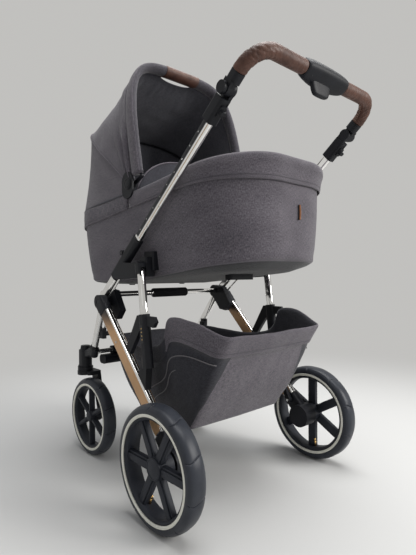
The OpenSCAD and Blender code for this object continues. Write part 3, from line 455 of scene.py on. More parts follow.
def turned(profile, centre, outer, steps=96, closed=True):
    """A ring or disc turned from a section of (radius, outward offset) points round the wheel's axle."""
    bm = bmesh.new()
    spots = [bm.verts.new((centre[0] + outer * x, centre[1], centre[2] + r)) for r, x in profile]
    ends = list(zip(spots, spots[1:])) + ([(spots[-1], spots[0])] if closed else [])
    edges = [bm.edges.new(pair) for pair in ends]
    bmesh.ops.spin(
        bm, geom=spots + edges, cent=centre, axis=(1, 0, 0), angle=2 * math.pi, steps=steps, use_merge=True,
    )
    bmesh.ops.remove_doubles(bm, verts=bm.verts, dist=0.00001)
    return bm


for kind, side, outer, centre, _, wide, _, ring_r, *_ in WHEELS:
    face = wide / 2
    for wall, label in ((1, "outer"), (-1, "inner")):
        section = [
            (ring_r + 0.0012, face - 0.0022), (ring_r + 0.0008, face - 0.0001), (ring_r - 0.0002, face + 0.0005),
            (ring_r - 0.0046, face + 0.0004), (ring_r - 0.0060, face - 0.0006), (ring_r - 0.0062, face - 0.003),
        ]
        bm = turned(section, centre, outer * wall)
        into_scene(bm, f"{kind}_ring_{side}_{label}", cream, f"{kind}_wheel_{side}", slot="tyre_rubber")

# ---- Rims -------------------------------------------------------------------------------------
# One-piece moulded nylon rims: a channel that holds the tyre, a stepped lip, six box spokes with a
# raised flat face, and a hub with a round press-in cap.
rim_black = moulded("rim_nylon", (0.017, 0.019, 0.026), (0.026, 0.029, 0.038), 1300, 0.25, (0.42, 0.58))


def bevelled_box(bm, size, matrix, edge):
    """A box with rounded edges."""
    made = bmesh.ops.create_cube(bm, size=1.0)["verts"]
    bmesh.ops.scale(bm, vec=size, verts=made)
    edges = list(dict.fromkeys(e for v in made for e in v.link_edges))
    bevel = bmesh.ops.bevel(bm, geom=edges, offset=edge, segments=2, profile=0.5, affect="EDGES")
    moved = dict.fromkeys(v for v in made + bevel["verts"] if v.is_valid)
    bmesh.ops.transform(bm, matrix=matrix, verts=list(moved))


for kind, side, outer, centre, _, wide, seat, _, spoke, hub, phase in WHEELS:
    half = wide / 2
    lip = seat - 0.0005
    rim_section = [
        (lip, half - 0.0045), (lip - 0.001, half - 0.0030), (lip - 0.0035, half - 0.0026),
        (lip - 0.0050, half - 0.0036), (lip - 0.0075, half - 0.0075), (lip - 0.0085, half - 0.0095),
        (lip - 0.0090, -half + 0.008), (lip - 0.0070, -half + 0.0045), (lip - 0.001, -half + 0.0042),
        (lip, -half + 0.0055),
    ]
    bm = turned(rim_section, centre, outer, 120)
    inner_r = lip - 0.0080
    boss_r = hub + 0.002
    spoke_face = half - (0.0105 if kind == "rear" else 0.0085)
    for i in range(6):
        turn = math.radians(phase + (90 if kind == "front" else 0) + i * 60)
        length = inner_r - boss_r + 0.012
        middle = boss_r - 0.006 + length / 2
        for wide_share, deep, shift in ((1.0, 0.013, -0.0085), (0.62, 0.004, -0.0005)):
            pose = (
                Matrix.Translation(centre)
                @ Matrix.Rotation(turn, 4, "X")
                @ Matrix.Translation((outer * (spoke_face + shift), middle, 0))
                @ Matrix.Rotation(math.radians(90), 4, "Z")
            )
            bevelled_box(bm, (length, deep, spoke * wide_share), pose, 0.0011)
    boss = [
        (0.0001, -half - 0.001), (boss_r, -half - 0.001), (boss_r, spoke_face - 0.002),
        (boss_r - 0.0015, spoke_face + 0.0005), (0.0001, spoke_face + 0.0005),
    ]
    hub_bm = turned(boss, centre, outer, 64, closed=False)
    cap = [
        (hub - 0.0005, spoke_face - 0.001), (hub, spoke_face + 0.003), (hub - 0.0012, spoke_face + 0.0048),
        (hub - 0.004, spoke_face + 0.0056), (hub - 0.005, spoke_face + 0.0048),
        (hub * 0.45, spoke_face + 0.0064), (0.0001, spoke_face + 0.0068),
    ]
    cap_bm = turned(cap, centre, outer, 64, closed=False)
    for extra in (hub_bm, cap_bm):
        spare = bpy.data.meshes.new("spare")
        extra.to_mesh(spare)
        extra.free()
        bm.from_mesh(spare)
        bpy.data.meshes.remove(spare)
    rim = into_scene(bm, f"{kind}_spoked_rim_{side}", rim_black, f"{kind}_wheel_{side}",
                     [f"{kind}_rim_{side}"], "black_plastic")
    sharpen(rim, 40)

# Brass valve stem on the inner side of each rear rim.
brass = metal("valve_brass", (0.80, 0.52, 0.20), (0.65, 0.42, 0.17), (0.2, 0.35))
valve_turn = {"left": 248, "right": 278}
for kind, side, outer, centre, *_ in WHEELS[:2]:
    bm = bmesh.new()
    turn = Matrix.Rotation(math.radians(valve_turn[side]), 4, "X")
    for reach, thick, deep in ((0.094, 0.0026, 0.018), (0.083, 0.0034, 0.007)):
        pose = (
            Matrix.Translation(centre) @ turn @ Matrix.Translation((-outer * 0.002, reach, 0))
            @ Matrix.Rotation(math.radians(90), 4, "X")
        )
        bmesh.ops.create_cone(
            bm, cap_ends=True, segments=14, radius1=thick, radius2=thick * 0.8, depth=deep, matrix=pose,
        )
    into_scene(bm, f"valve_{side}", brass, f"rear_wheel_{side}", slot="steel_pin")

# ---- Carrycot body ----------------------------------------------------------------------------
# A moulded tub covered in dense melange cloth, with a darker coated cloth underneath and a pale
# lining inside. One closed shell runs from the floor up the sides, over the rim and in.


def melange_group():
    """Plain weave of slubby two-tone yarn: Fleck mixes the yarn colours, Height is the weave."""
    group, entry, leave = new_group("melange_weave", ["Yarns"], ["Fleck", "Height"])
    sized = add(group, "ShaderNodeVectorMath", operation="SCALE")
    wire(group, (entry["Vector"], sized.inputs[0]), (entry["Yarns"], sized.inputs["Scale"]))
    both = add(group, "ShaderNodeMath", operation="ADD")
    over = add(group, "ShaderNodeMath", operation="MAXIMUM")
    for i, (stretch, way) in enumerate((((1.0, 0.16, 1.0), "X"), ((0.16, 1.0, 1.0), "Y"))):
        run = add(group, "ShaderNodeMapping", in_Scale=stretch)
        slub = add(group, "ShaderNodeTexNoise", in_Scale=430, in_Detail=4, in_Roughness=0.65)
        wave = add(group, "ShaderNodeTexWave", bands_direction=way, in_Scale=330, in_Distortion=0.6, in_Detail=0.0)
        wire(
            group, (sized.outputs[0], run.inputs["Vector"]), (run.outputs[0], slub.inputs["Vector"]),
            (slub.outputs["Fac"], both.inputs[i]), (sized.outputs[0], wave.inputs["Vector"]),
            (wave.outputs["Fac"], over.inputs[i]),
        )
    cloudy = add(group, "ShaderNodeTexNoise", in_Scale=9, in_Detail=4)
    worn = add(group, "ShaderNodeMath", operation="MULTIPLY_ADD")
    worn.inputs[1].default_value = 0.35
    wire(
        group, (entry["Vector"], cloudy.inputs["Vector"]), (cloudy.outputs["Fac"], worn.inputs[0]),
        (both.outputs[0], worn.inputs[2]), (mapped(group, worn.outputs[0], 0.95, 1.41), leave["Fleck"]),
        (over.outputs[0], leave["Height"]),
    )
    return group


MELANGE = melange_group()


def cloth(name, dark, light, yarns=1.0, depth=0.35, roughness=0.92, on="UV"):
    """Woven cloth in two yarn colours; it follows the piece's own flat pattern in metres."""
    return patterned(
        name, {"node_tree": MELANGE, "in_Yarns": yarns}, "Fleck", (0.0, 1.0), (dark, light), (depth, 0.0005),
        on=on, in_Roughness=roughness, in_Sheen_Weight=0.25, in_Sheen_Roughness=0.45, in_Specular_IOR_Level=0.25,
    )


melange = cloth("melange_cloth", (0.046, 0.041, 0.052), (0.176, 0.160, 0.182), 1.35)
# A darker copy of the melange cloth for shaded places: painted shade. It colours the inside of the canopy hem and the
# stitch lines.
painted_shade_melange = cloth("melange_shaded", (0.030, 0.028, 0.036), (0.088, 0.082, 0.094), 1.35)
side_cloth = cloth("black_side_cloth", (0.020, 0.020, 0.026), (0.046, 0.046, 0.056), 1.0, 0.25)
seam_grey = cloth("seam_cord", (0.11, 0.105, 0.11), (0.20, 0.19, 0.20), 1.0, 0.2)
lining_pale = cloth("pale_lining", (0.50, 0.50, 0.51), (0.66, 0.66, 0.67), 1.3, 0.3)
lining_black = cloth("black_lining", (0.052, 0.052, 0.062), (0.098, 0.098, 0.112), 1.0, 0.2)
under_cloth = cloth("coated_under_cloth", (0.012, 0.012, 0.015), (0.026, 0.026, 0.031), 1.2, 0.25, 0.8)

# The cot's half width, its two ends, its corner radius and the line where band and apron meet
cot_half = 0.203
cot_head = -0.4362
cot_foot = 0.3318
cot_round = 0.150
cot_seam = -0.0652
seam_gap = 0.004


def rim_height(y):
    """Height of the cot's rim, which climbs gently towards the foot end."""
    t = (y - cot_head) * 1000
    return 0.757 + (0.032 * t + 0.00008 * t * t) / 1000


def outline(share, half, low, high, round_off):
    """Point on a plan with round corners, anticlockwise from the middle of the +X side."""
    middle = (low + high) / 2
    across, foot_line, head_line = half - round_off, high - round_off, low + round_off
    turn = math.pi / 2
    ways = [
        (0.11, lambda s: (half, middle + s * (foot_line - middle))),
        (0.13, lambda s: (across + round_off * math.cos(s * turn), foot_line + round_off * math.sin(s * turn))),
        (0.10, lambda s: (across - s * 2 * across, high)),
        (0.13, lambda s: (-across - round_off * math.sin(s * turn), foot_line + round_off * math.cos(s * turn))),
        (0.22, lambda s: (-half, foot_line + s * (head_line - foot_line))),
        (0.13, lambda s: (-across - round_off * math.cos(s * turn), head_line - round_off * math.sin(s * turn))),
        (0.10, lambda s: (-across + s * 2 * across, low)),
        (0.13, lambda s: (across + round_off * math.sin(s * turn), head_line - round_off * math.cos(s * turn))),
        (0.11, lambda s: (half, head_line + s * (middle - head_line))),
    ]
    walk = (share % 1.0) * sum(span for span, way in ways)
    for span, way in ways:
        if walk <= span:
            return way(walk / span)
        walk -= span
    return ways[-1][1](1.0)


def lifted(base, start, tall, power):
    """Height that rises from start towards the foot end of the cot."""
    return lambda y: base + tall * max(0.0, (y - start) / (cot_foot - start)) ** power


def level_point(level, share, out):
    half, head_in, foot_in, round_off, height = level
    x, y = outline(share, half + out, cot_head + head_in - out, cot_foot - foot_in + out, round_off + out)
    return Vector((x, y, height(y)))


cot_levels = [  # half width, inset at the head and foot ends, corner radius, height
    (0.0008, 0.190, 0.190, 0.0004, lifted(0.533, -0.1452, 0.043, 1.0)),
    (0.143, 0.066, 0.064, 0.100, lifted(0.533, -0.1452, 0.043, 1.0)),
    (0.179, 0.042, 0.022, 0.134, lifted(0.538, -0.1152, 0.052, 1.15)),
    (0.190, 0.026, 0.003, 0.150, lifted(0.547, -0.0652, 0.051, 1.1)),
    (0.203, 0.0, 0.0, 0.150, rim_height),
    (0.197, 0.006, 0.006, 0.144, rim_height),
    (0.183, 0.033, 0.010, 0.144, lifted(0.555, -0.0652, 0.051, 1.1)),
    (0.163, 0.066, 0.126, 0.104, lifted(0.541, cot_head, 0.040, 1.0)),
    (0.0008, 0.200, 0.260, 0.0004, lifted(0.541, cot_head, 0.040, 1.0)),
]
cot_rows = [4, 3, 3, 16, 2, 10, 4, 4]
lower_curve, outer_side, inner_side = 2, 3, 5


def cot_surface(share, row):
    """Row counts through the levels; the side wall bulges a little and has soft creases."""
    for i, steps in enumerate(cot_rows):
        if row <= steps or i == len(cot_rows) - 1:
            part = min(row / steps, 1.0)
            break
        row -= steps
    puff = 0.0
    if i == outer_side:
        puff = 0.0045 * math.sin(math.pi * part) ** 0.8 - 0.0012 * math.exp(-((part - 0.07) / 0.03) ** 2)
    elif i == inner_side:
        puff = -0.004 * math.sin(math.pi * part)
    elif i == lower_curve:
        puff = 0.0022 * math.sin(math.pi * part)
    low = level_point(cot_levels[i], share, puff)
    high = level_point(cot_levels[i + 1], share, puff)
    spot = low.lerp(high, part)
    if i in (outer_side, inner_side):
        crease = noise.noise(Vector((spot.x * 9, spot.y * 9, spot.z * 5)))
        fine = noise.noise(Vector((spot.x * 30, spot.y * 30, spot.z * 12 + 7)))
        away = Vector((spot.x, spot.y * 0.4, 0)).normalized()
        spot += away * (0.0012 * crease + 0.0004 * fine) * math.sin(math.pi * part)
    return spot


total_rows = sum(cot_rows)
side_from, side_to = sum(cot_rows[:2]) + 1, sum(cot_rows[:5])
bm = shell_grid(144, total_rows, lambda u, v: cot_surface(u, v * total_rows))
zone_faces(bm, lambda u, v: 1 if v * total_rows < side_from else 0 if v * total_rows < side_to else 2)
scale_uv(bm, 1.75, 1.35)
into_scene(bm, "cot_body", [melange, under_cloth, lining_pale], "cot", ["cot_tub"], "grey_cloth")


def bead(name, path, radius, material, body, slot):
    """A round cord edge or stitch line along a list of points, made a mesh."""
    curve = bpy.data.curves.new(name, "CURVE")
    curve.dimensions = "3D"
    curve.bevel_depth = radius
    curve.bevel_resolution = 2
    curve.use_fill_caps = True
    spline = curve.splines.new("POLY")
    spline.points.add(len(path) - 1)
    spline.points.foreach_set("co", [c for p in path for c in (*p, 1.0)])
    holder = bpy.data.objects.new(name + "_line", curve)
    scene.collection.objects.link(holder)
    mesh = bpy.data.meshes.new_from_object(holder)
    bpy.data.objects.remove(holder)
    bm = bmesh.new()
    bm.from_mesh(mesh)
    bpy.data.meshes.remove(mesh)
    bmesh.ops.remove_doubles(bm, verts=bm.verts, dist=radius * 0.01)
    into_scene(bm, name, material, body, slot=slot)


# ---- Handle grips -----------------------------------------------------------------------------
# Soft brown leatherette wrapped round the handle's bends over thin foam, closed with a stitched
# seam on the inner side. It creases across each bend and is worn shiny where hands hold it.


def hide_group():
    """Leather: fine pebbled pores, and broad soft wear between 0 and 1."""
    group, entry, leave = new_group("leather_hide", ["Pores"], ["Height", "Wear"])
    pebble = add(group, "ShaderNodeTexVoronoi")
    wear = add(group, "ShaderNodeTexNoise", in_Scale=34, in_Detail=6, in_Roughness=0.6)
    both = add(group, "ShaderNodeMath", operation="MULTIPLY_ADD")
    both.inputs[1].default_value = 0.8
    wire(
        group, (entry["Vector"], pebble.inputs["Vector"]), (entry["Pores"], pebble.inputs["Scale"]),
        (entry["Vector"], wear.inputs["Vector"]), (wear.outputs["Fac"], both.inputs[0]),
        (pebble.outputs["Distance"], both.inputs[2]), (both.outputs[0], leave["Height"]),
        (wear.outputs["Fac"], leave["Wear"]),
    )
    return group


HIDE = hide_group()


def leatherette(name, dark, light, pores=700, depth=0.18):
    return patterned(
        name, {"node_tree": HIDE, "in_Pores": pores}, "Wear", (0.32, 0.72), (dark, light), (depth, 0.0006),
        (0.3, 0.7, 0.62, 0.40), in_Coat_Roughness=0.35, in_Coat_Weight=0.04, in_Specular_IOR_Level=0.32,
    )


leather = leatherette("brown_leatherette", (0.056, 0.025, 0.017), (0.120, 0.054, 0.037))
thread = moulded("pale_thread", (0.20, 0.13, 0.10), (0.28, 0.18, 0.14), 900, 0.2, (0.7, 0.8))

# The handle leans back along handle_out from its tilt axis; handle_up stands square to it
handle_out = Vector((0, math.cos(math.radians(40.4)), math.sin(math.radians(40.4))))
handle_up = Vector((0, -handle_out.z, handle_out.y))
tilt_axis = Vector((0, 0.34122, 0.9340))
grip_reach = 0.100
grip_start = 0.040
corner_r = 0.058
tube_half = 0.225
console_half = 0.076


def handle_line(walk, side):
    """Centre point and direction of the handle, from its black end round the bend to the middle."""
    bend = corner_r * math.pi / 2
    start = grip_reach - corner_r - grip_start
    if walk < start:
        across, back, turn = tube_half, grip_start + walk, 0.0
    elif walk < start + bend:
        turn = (walk - start) / corner_r
        across = tube_half - corner_r + corner_r * math.cos(turn)
        back = grip_reach - corner_r + corner_r * math.sin(turn)
    else:
        turn = math.pi / 2
        across, back = tube_half - corner_r - (walk - start - bend), grip_reach
    way = Vector((-side * math.sin(turn), 0, 0)) + handle_out * math.cos(turn)
    return Vector((side * across, 0, 0)) + tilt_axis + handle_out * back, way, turn


grip_long = (grip_reach - corner_r - grip_start) + corner_r * math.pi / 2 + (tube_half - corner_r - console_half)


def leather_sleeve(side, radius, long):
    """A creased sleeve round the handle's bend, with rolled-in ends."""
    def place(u, v):
        walk = long * v
        centre, way, turn = handle_line(walk, side)
        angle = 2 * math.pi * u
        inward = way.cross(handle_up)
        bend = math.exp(-((turn - 0.75) / 0.62) ** 2)
        around = Vector((math.cos(angle), math.sin(angle), 0))
        slant = walk + 0.016 * math.sin(angle + 0.6) + 0.012 * noise.noise(around * 1.3 + Vector((0, 0, walk * 26)))
        counter = walk - 0.013 * math.sin(angle - 0.5) + 0.010 * noise.noise(around * 1.7 + Vector((7, 2, walk * 31)))
        ridge = abs(math.sin(math.pi * slant / 0.013)) ** 0.6 - 0.7
        cross = abs(math.sin(math.pi * counter / 0.0095)) ** 0.5 - 0.75
        fade = 0.5 + 0.9 * noise.noise(around * 1.1 + Vector((3, 1, walk * 18)))
        spread = 0.5 - 0.9 * noise.noise(around * 1.3 + Vector((3, 1, walk * 22)))
        fine = noise.noise(around * 2.4 + Vector((0, 5, walk * 120)))
        height = (0.0017 * bend + 0.0003) * ridge * fade
        height += (0.0013 * bend + 0.0002) * cross * spread
        height += (0.0006 * bend + 0.0002) * fine
        roll = -0.0016 * max(0.0, 1 - min(v, 1 - v) * long / 0.0022) ** 2
        return centre + (inward * math.cos(angle) + handle_up * math.sin(angle)) * (radius + height + roll)

    return shell_grid(48, 250, place)


for side, label in SIDES:
    bm = leather_sleeve(side, 0.0157, grip_long - 0.0004)
    close_ends(bm)
    into_scene(bm, f"leather_grip_{label}", leather, "handle", [f"grip_{label}"], "brown_leather")
    for offset, edge in ((-0.10, "low"), (0.10, "high")):
        angle = math.pi + offset
        seam = []
        for k in range(81):
            centre, way, _ = handle_line(0.003 + (grip_long - 0.006) * k / 80, side)
            inward = way.cross(handle_up) * side
            seam.append(centre + (inward * math.cos(angle) + handle_up * math.sin(angle)) * 0.0160)
        bead(f"grip_seam_{label}_{edge}", seam, 0.0007, thread, "handle", "brown_leather")

# ---- Rim band ---------------------------------------------------------------------------------
# A padded band of the same cloth wraps the rim of the cot's head half, with a turned hem along
# its lower edge. It stops at the canopy's pivots, where the apron's skirt begins.


def band_height(y):
    if y < cot_seam:
        return 0.038 + 0.016 * (cot_seam - y) / (cot_seam - cot_head)
    return 0.038 + 0.018 * min(1.0, (y - cot_seam) / (cot_foot - cot_seam)) ** 3


# Rows further in than this have corners that shrink with them, down to none at the centre line
shrink_from = -0.1296
centre_line = -0.2026


def around_rim(row, share):
    """Point of a band round the cot: a row is (out, share of the band's height down, lift, foot lip)."""
    out, down, lift, foot = row
    round_off = cot_round + out
    if out < shrink_from:
        round_off = max(0.0004, (cot_round + shrink_from) * (out - centre_line) / (shrink_from - centre_line))
    x, y = outline(share, cot_half + out, cot_head - out, cot_foot + out + foot, round_off)
    return Vector((x, y, rim_height(y) - down * band_height(y) + lift))


def through_rows(rows, u, v):
    """Point of a surface that runs through the rows."""
    last = len(rows) - 1
    low = min(int(v * last), last - 1)
    return around_rim(rows[low], u).lerp(around_rim(rows[low + 1], u), v * last - low)


def keep_side(bm, y, keep_foot):
    """Cuts a piece across at y and keeps one half."""
    bmesh.ops.bisect_plane(
        bm, geom=bm.verts[:] + bm.edges[:] + bm.faces[:], plane_co=(0, y, 0), plane_no=(0, 1, 0),
        clear_inner=keep_foot, clear_outer=not keep_foot,
    )


def seam_line(row, way):
    """The part of a row on one side of the seam, in order: way is 1 at the foot, -1 at the head."""
    points = [around_rim(row, i / 240) for i in range(241)]
    points = [p for p in points if way * (p.y - cot_seam) > seam_gap]
    return sorted(points, key=lambda p: math.atan2(p.x, way * (p.y + 0.06)))


band_rows = [
    (0.0007, 0.0, 0.0022, 0), (0.0007, 0.5, 0, 0), (0.0007, 0.97, 0, 0), (0.0014, 1.0, 0, 0),
    (0.0034, 1.0, 0, 0), (0.0044, 0.975, 0, 0), (0.0045, 0.90, 0, 0), (0.0038, 0.83, 0, 0),
    (0.0041, 0.78, 0, 0), (0.0046, 0.45, 0, 0), (0.0044, 0.12, 0, 0), (0.0036, 0.0, 0.0012, 0),
    (0.0020, 0.0, 0.0030, 0), (0.0007, 0.0, 0.0022, 0),
]
bm = shell_grid(200, (len(band_rows) - 1) * 2, lambda u, v: through_rows(band_rows, u, v))
bmesh.ops.remove_doubles(bm, verts=bm.verts, dist=0.00005)
keep_side(bm, cot_seam - seam_gap, False)
close_ends(bm)
scale_uv(bm, 1.75, 0.11)
flat_pattern = bm.loops.layers.uv.verify()
for face in bm.faces:
    for loop in face.loops:
        loop[flat_pattern].uv.y = loop.vert.co.z
into_scene(bm, "rim_band", melange, "cot", ["cot_rim"], "grey_cloth")
# Stitch line in the shaded copy of the melange: painted shade in the seam.
bead("rim_band_stitch", seam_line((0.0040, 0.83, 0, 0), -1), 0.0006, painted_shade_melange, "cot", "grey_cloth")

# ---- Apron ------------------------------------------------------------------------------------
# A fitted cover over the foot half: a skirt with a seamed lower edge, a padded lip that stands
# out round the foot end, a softly sagging top, and a curved wind flap with a corded edge.
apron_rows = [
    (0.0034, 1.0, 0, 0.003), (0.0046, 0.98, 0, 0.0042), (0.0046, 0.90, 0, 0.0050), (0.0040, 0.84, 0, 0.0058),
    (0.0043, 0.78, 0, 0.0064), (0.0046, 0.6, 0, 0.0080), (0.0046, 0.42, 0, 0.0105), (0.0048, 0.30, 0, 0.0135),
    (0.0046, 0.16, 0, 0.0142), (0.0040, 0.02, 0, 0.0132), (0.0024, 0, 0.0036, 0.0096), (-0.0060, 0, 0.0062, 0.0040),
    (-0.0300, 0, 0.0078, 0), (-0.0700, 0, 0.0086, 0), (-0.1300, 0, 0.0078, 0), (-0.2022, 0, 0.0070, 0),
]


first_top_row = 10.5


def apron_place(u, v):
    spot = through_rows(apron_rows, u, v)
    row = v * (len(apron_rows) - 1)
    if row > first_top_row:
        sag = min(1.0, (row - first_top_row) / 2.5)
        ripple = noise.noise(Vector((spot.x * 7, spot.y * 11, 3.3)))
        spot.z += sag * (0.0012 * ripple - 0.0030 * math.sin(math.pi * min(1, (spot.y - cot_seam) / 0.39)))
    return spot


def settle(piece):
    """Makes the piece's modifiers part of its mesh."""
    bpy.context.view_layer.update()
    made = bpy.data.meshes.new_from_object(piece.evaluated_get(bpy.context.evaluated_depsgraph_get()))
    piece.modifiers.clear()
    piece.data = made


def thicken(piece, thick, inner_slot=0):
    """Gives a sheet its thickness towards its inner side, with the lining on that side."""
    wall = piece.modifiers.new("thickness", "SOLIDIFY")
    wall.thickness = thick
    wall.offset = -1
    wall.material_offset = inner_slot
    wall.material_offset_rim = 0
    settle(piece)


bm = shell_grid(200, (len(apron_rows) - 1) * 2, apron_place)
bmesh.ops.remove_doubles(bm, verts=bm.verts, dist=0.0006)
keep_side(bm, cot_seam + seam_gap, True)
scale_uv(bm, 1.75, 0.33)
apron = into_scene(bm, "apron_cover", [melange, lining_black], "cot", ["apron"], "grey_cloth")
thicken(apron, 0.0016, 1)
# Stitch line in the shaded copy of the melange: painted shade in the seam.
bead("apron_stitch", seam_line((0.0042, 0.84, 0, 0.0058), 1), 0.0006, painted_shade_melange, "cot", "grey_cloth")

flap_y = -0.0412


def flap_place(u, v):
    """The wind flap: a rounded arch between the apron and its corded top, leaning a little."""
    x = 0.188 * math.copysign(abs(2 * u - 1) ** 0.85, 1 - 2 * u)
    base = rim_height(flap_y) + 0.004
    top = max(0.767 + 0.124 * (1 - (abs(x) / 0.190) ** 2.6) ** 0.5, base + 0.002)
    z = base + (top - base) * v
    lean = -0.010 * v * v + 0.0035 * math.sin(2.2 * math.pi * u) * v
    ripple = 0.0015 * noise.noise(Vector((x * 16, z * 9, 1.7))) * v
    return Vector((x, flap_y + lean + ripple, z))


bm = shell_grid(48, 14, flap_place, close_columns=False)
scale_uv(bm, 0.40, 0.13)
flap = into_scene(bm, "wind_flap", side_cloth, "cot", slot="grey_cloth")
thicken(flap, 0.0022)
bead("wind_flap_cord", [flap_place(i / 60, 1.0) for i in range(61)], 0.0021, melange, "cot", "grey_cloth")

# ---- Canopy -----------------------------------------------------------------------------------
# One curved cover in two panels, joined at a corded seam over the ridge bow. The front hem is a
# padded pocket round the front bow, and the cloth gathers in deep pleats above each pivot.
# The panels run between three arches: over the front bow, over the ridge bow and on the rim
pivot = Vector((0, -0.0582, 0.808))
arch_half = 0.207
canopy_rise = 0.372
ridge_len = 0.400
arch_start = 0.014
front_lean = math.tan(math.radians(11.6))
ridge_way = Vector((0, -math.cos(math.radians(36)), math.sin(math.radians(36))))
under_canopy = Vector((0, -0.14, 0.86))


def arch(turn):
    """Unit arch with square shoulders: across and up, for a turn from 0 to pi."""
    across, up = math.cos(turn), max(math.sin(turn), 0.0)
    reach = (abs(across) ** 4.2 + up ** 4.2) ** (-1 / 4.2)
    return across * reach, up * reach


def front_line(turn):
    across, up = arch(turn)
    z = arch_start + (canopy_rise - arch_start) * up
    return Vector((arch_half * across, -0.0052 - z * front_lean, pivot.z + z))


def ridge_line(turn, off=0.0):
    across, up = arch(turn)
    reach = arch_start + (ridge_len - arch_start - off) * up
    return Vector(((arch_half - off) * across, 0, 0)) + pivot + ridge_way * reach


def rim_line(turn, off=0.0):
    across, up = arch(turn)
    start = pivot.y - 0.010
    y = start - (start - cot_head + 0.004 - off) * up
    return Vector(((arch_half - off) * across, y, rim_height(y) + 0.0068))


def outwards(line_a, line_b, turn):
    """Unit normal of the cover between two edge lines, away from its inside."""
    step = 0.01
    along = line_a(min(turn + step, math.pi)) - line_a(max(turn - step, 0))
    across = line_b(turn) - line_a(turn)
    normal = along.cross(across)
    if normal.length < 1e-9:
        normal = Vector((1, 0, 0))
    normal.normalize()
    if normal.dot(line_a(turn) - under_canopy) < 0:
        normal.negate()
    return normal


pleats = ((0.06, 0.040, -1.0), (0.19, 0.045, 0.75), (0.33, 0.040, -0.85), (0.47, 0.05, 0.45))


def pleat(spot, share):
    """Deep pleats (place, width, height) that run up from each pivot and fade away from it."""
    reach = (spot - Vector((spot.x, pivot.y, pivot.z))).length
    near = math.exp(-((reach - 0.060) / 0.095) ** 2)
    side = min(1.0, abs(spot.x) / 0.17) ** 6
    bend = share + 0.25 * (reach - 0.06)
    wave = sum(tall * math.exp(-((bend - fold) / wide) ** 2) for fold, wide, tall in pleats)
    return 0.0120 * near * side * wave


hem_wide = 0.038
slot_half = 0.058


def panel_start(turn):
    """Where the panel begins behind the hem; it leaves a lens-shaped slot below the carry grip."""
    x = front_line(turn).x
    return hem_wide - 0.001 + 0.013 * max(0.0, 1 - (x / slot_half) ** 2) ** 0.5


def front_cover(u, v):
    turn = math.pi * u
    a, b = front_line(turn), ridge_line(turn)
    wide = (b - a).length
    start = min(panel_start(turn) / max(wide, 0.001), 0.8)
    share = start + (1 - start) * v
    spot = a.lerp(b, share)
    normal = outwards(front_line, ridge_line, turn)
    up = arch(turn)[1]
    sag = -0.0085 * math.sin(math.pi * v) * up
    crease = noise.noise(Vector((spot.x * 10, spot.y * 24 + spot.z * 8, spot.z * 12)))
    beside = math.exp(-v / 0.16)
    tug = 0.0060 * beside * noise.noise(Vector((u * 42, v * 5, 4.0))) * min(1.0, up * 1.5)
    edge = min(1.0, v * 12, (1 - v) * 14)
    return spot + normal * ((sag + 0.0030 * crease) * edge + tug * min(1, v * 8) + pleat(spot, v))


bm = shell_grid(128, 40, front_cover, close_columns=False)
scale_uv(bm, 0.98, 0.34)
front_panel = into_scene(bm, "canopy_front_cover", [melange, lining_black],
                         replaced=["canopy_front_panel"], slot="grey_cloth")
thicken(front_panel, 0.0022, 1)
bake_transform(front_panel)


def rear_cover(u, v):
    turn = math.pi * u
    a, b = ridge_line(turn, 0.0006), rim_line(turn, 0.0006)
    spot = a.lerp(b, v)
    normal = outwards(ridge_line, rim_line, turn)
    up = arch(turn)[1]
    edge = min(1.0, v * 12, (1 - v) * 14)
    crease = noise.noise(Vector((spot.x * 8, spot.y * 10, spot.z * 9 + 5)))
    return spot + normal * ((-0.0050 * math.sin(math.pi * v) * up + 0.0014 * crease) * edge - 0.0004)


bm = shell_grid(128, 30, rear_cover, close_columns=False)
scale_uv(bm, 0.98, 0.28)
rear_panel = into_scene(bm, "canopy_rear_cover", [melange, lining_black],
                        replaced=["canopy_rear_panel"], slot="grey_cloth")
thicken(rear_panel, 0.0020, 1)
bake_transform(rear_panel)


def hem_spot(turn, back, out):
    """A point back from the front line, and out from the cover there."""
    base = front_line(turn)
    way = (ridge_line(turn) - base).normalized()
    return base + way * back + outwards(front_line, ridge_line, turn) * out


def swept_hem(section, first, last):
    """Sweeps a section of (distance back, outward offset) points along the front line."""
    count = len(section)

    def place(u, v):
        back, out = section[int(round(v * count)) % count]
        return hem_spot(first + (last - first) * u, back, out)

    bm = shell_grid(150, count, place)
    close_ends(bm)
    return bm


hem_section = [
    (0.0360, -0.0030), (0.0300, -0.0090), (0.0220, -0.0155), (0.0120, -0.0180), (0.0040, -0.0165),
    (-0.0010, -0.0120), (-0.0030, -0.0060), (-0.0024, -0.0012), (0.0010, 0.0018), (0.0060, 0.0032),
    (0.0130, 0.0037), (0.0210, 0.0034), (0.0290, 0.0022), (0.0345, 0.0004), (0.0375, -0.0016),
]
bm = swept_hem(hem_section, 0.03, math.pi - 0.03)
# The hem's inner side, facing into the canopy, takes the shaded copy of the melange: painted shade.
zone_faces(bm, lambda u, v: 1 if v < 0.44 else 0)
scale_uv(bm, 0.98, 0.10)
into_scene(bm, "canopy_hem", [melange, painted_shade_melange], "canopy_front", slot="grey_cloth")
ridge_turns = [math.pi * (i / 120) for i in range(121)]
cord_path = [ridge_line(t) + outwards(front_line, ridge_line, t) * 0.0006 for t in ridge_turns]
bead("canopy_ridge_cord", cord_path, 0.0019, melange, "canopy_ridge", "grey_cloth")
hem_path = [hem_spot(t, 0.0372, -0.0008) for t in ridge_turns[3:-3]]
# Stitch line in the shaded copy of the melange: painted shade in the seam.
bead("canopy_hem_stitch", hem_path, 0.0008, painted_shade_melange, "canopy_front", "grey_cloth")
# The cord along the rear panel's lower edge is thick and black: painted shadow in the gap between the canopy and the
# rim band.
lower_path = [rear_cover(i / 120, 1.0) for i in range(121)]
bead("canopy_lower_cord", lower_path, 0.0027, lining_black, "cot", "grey_cloth")

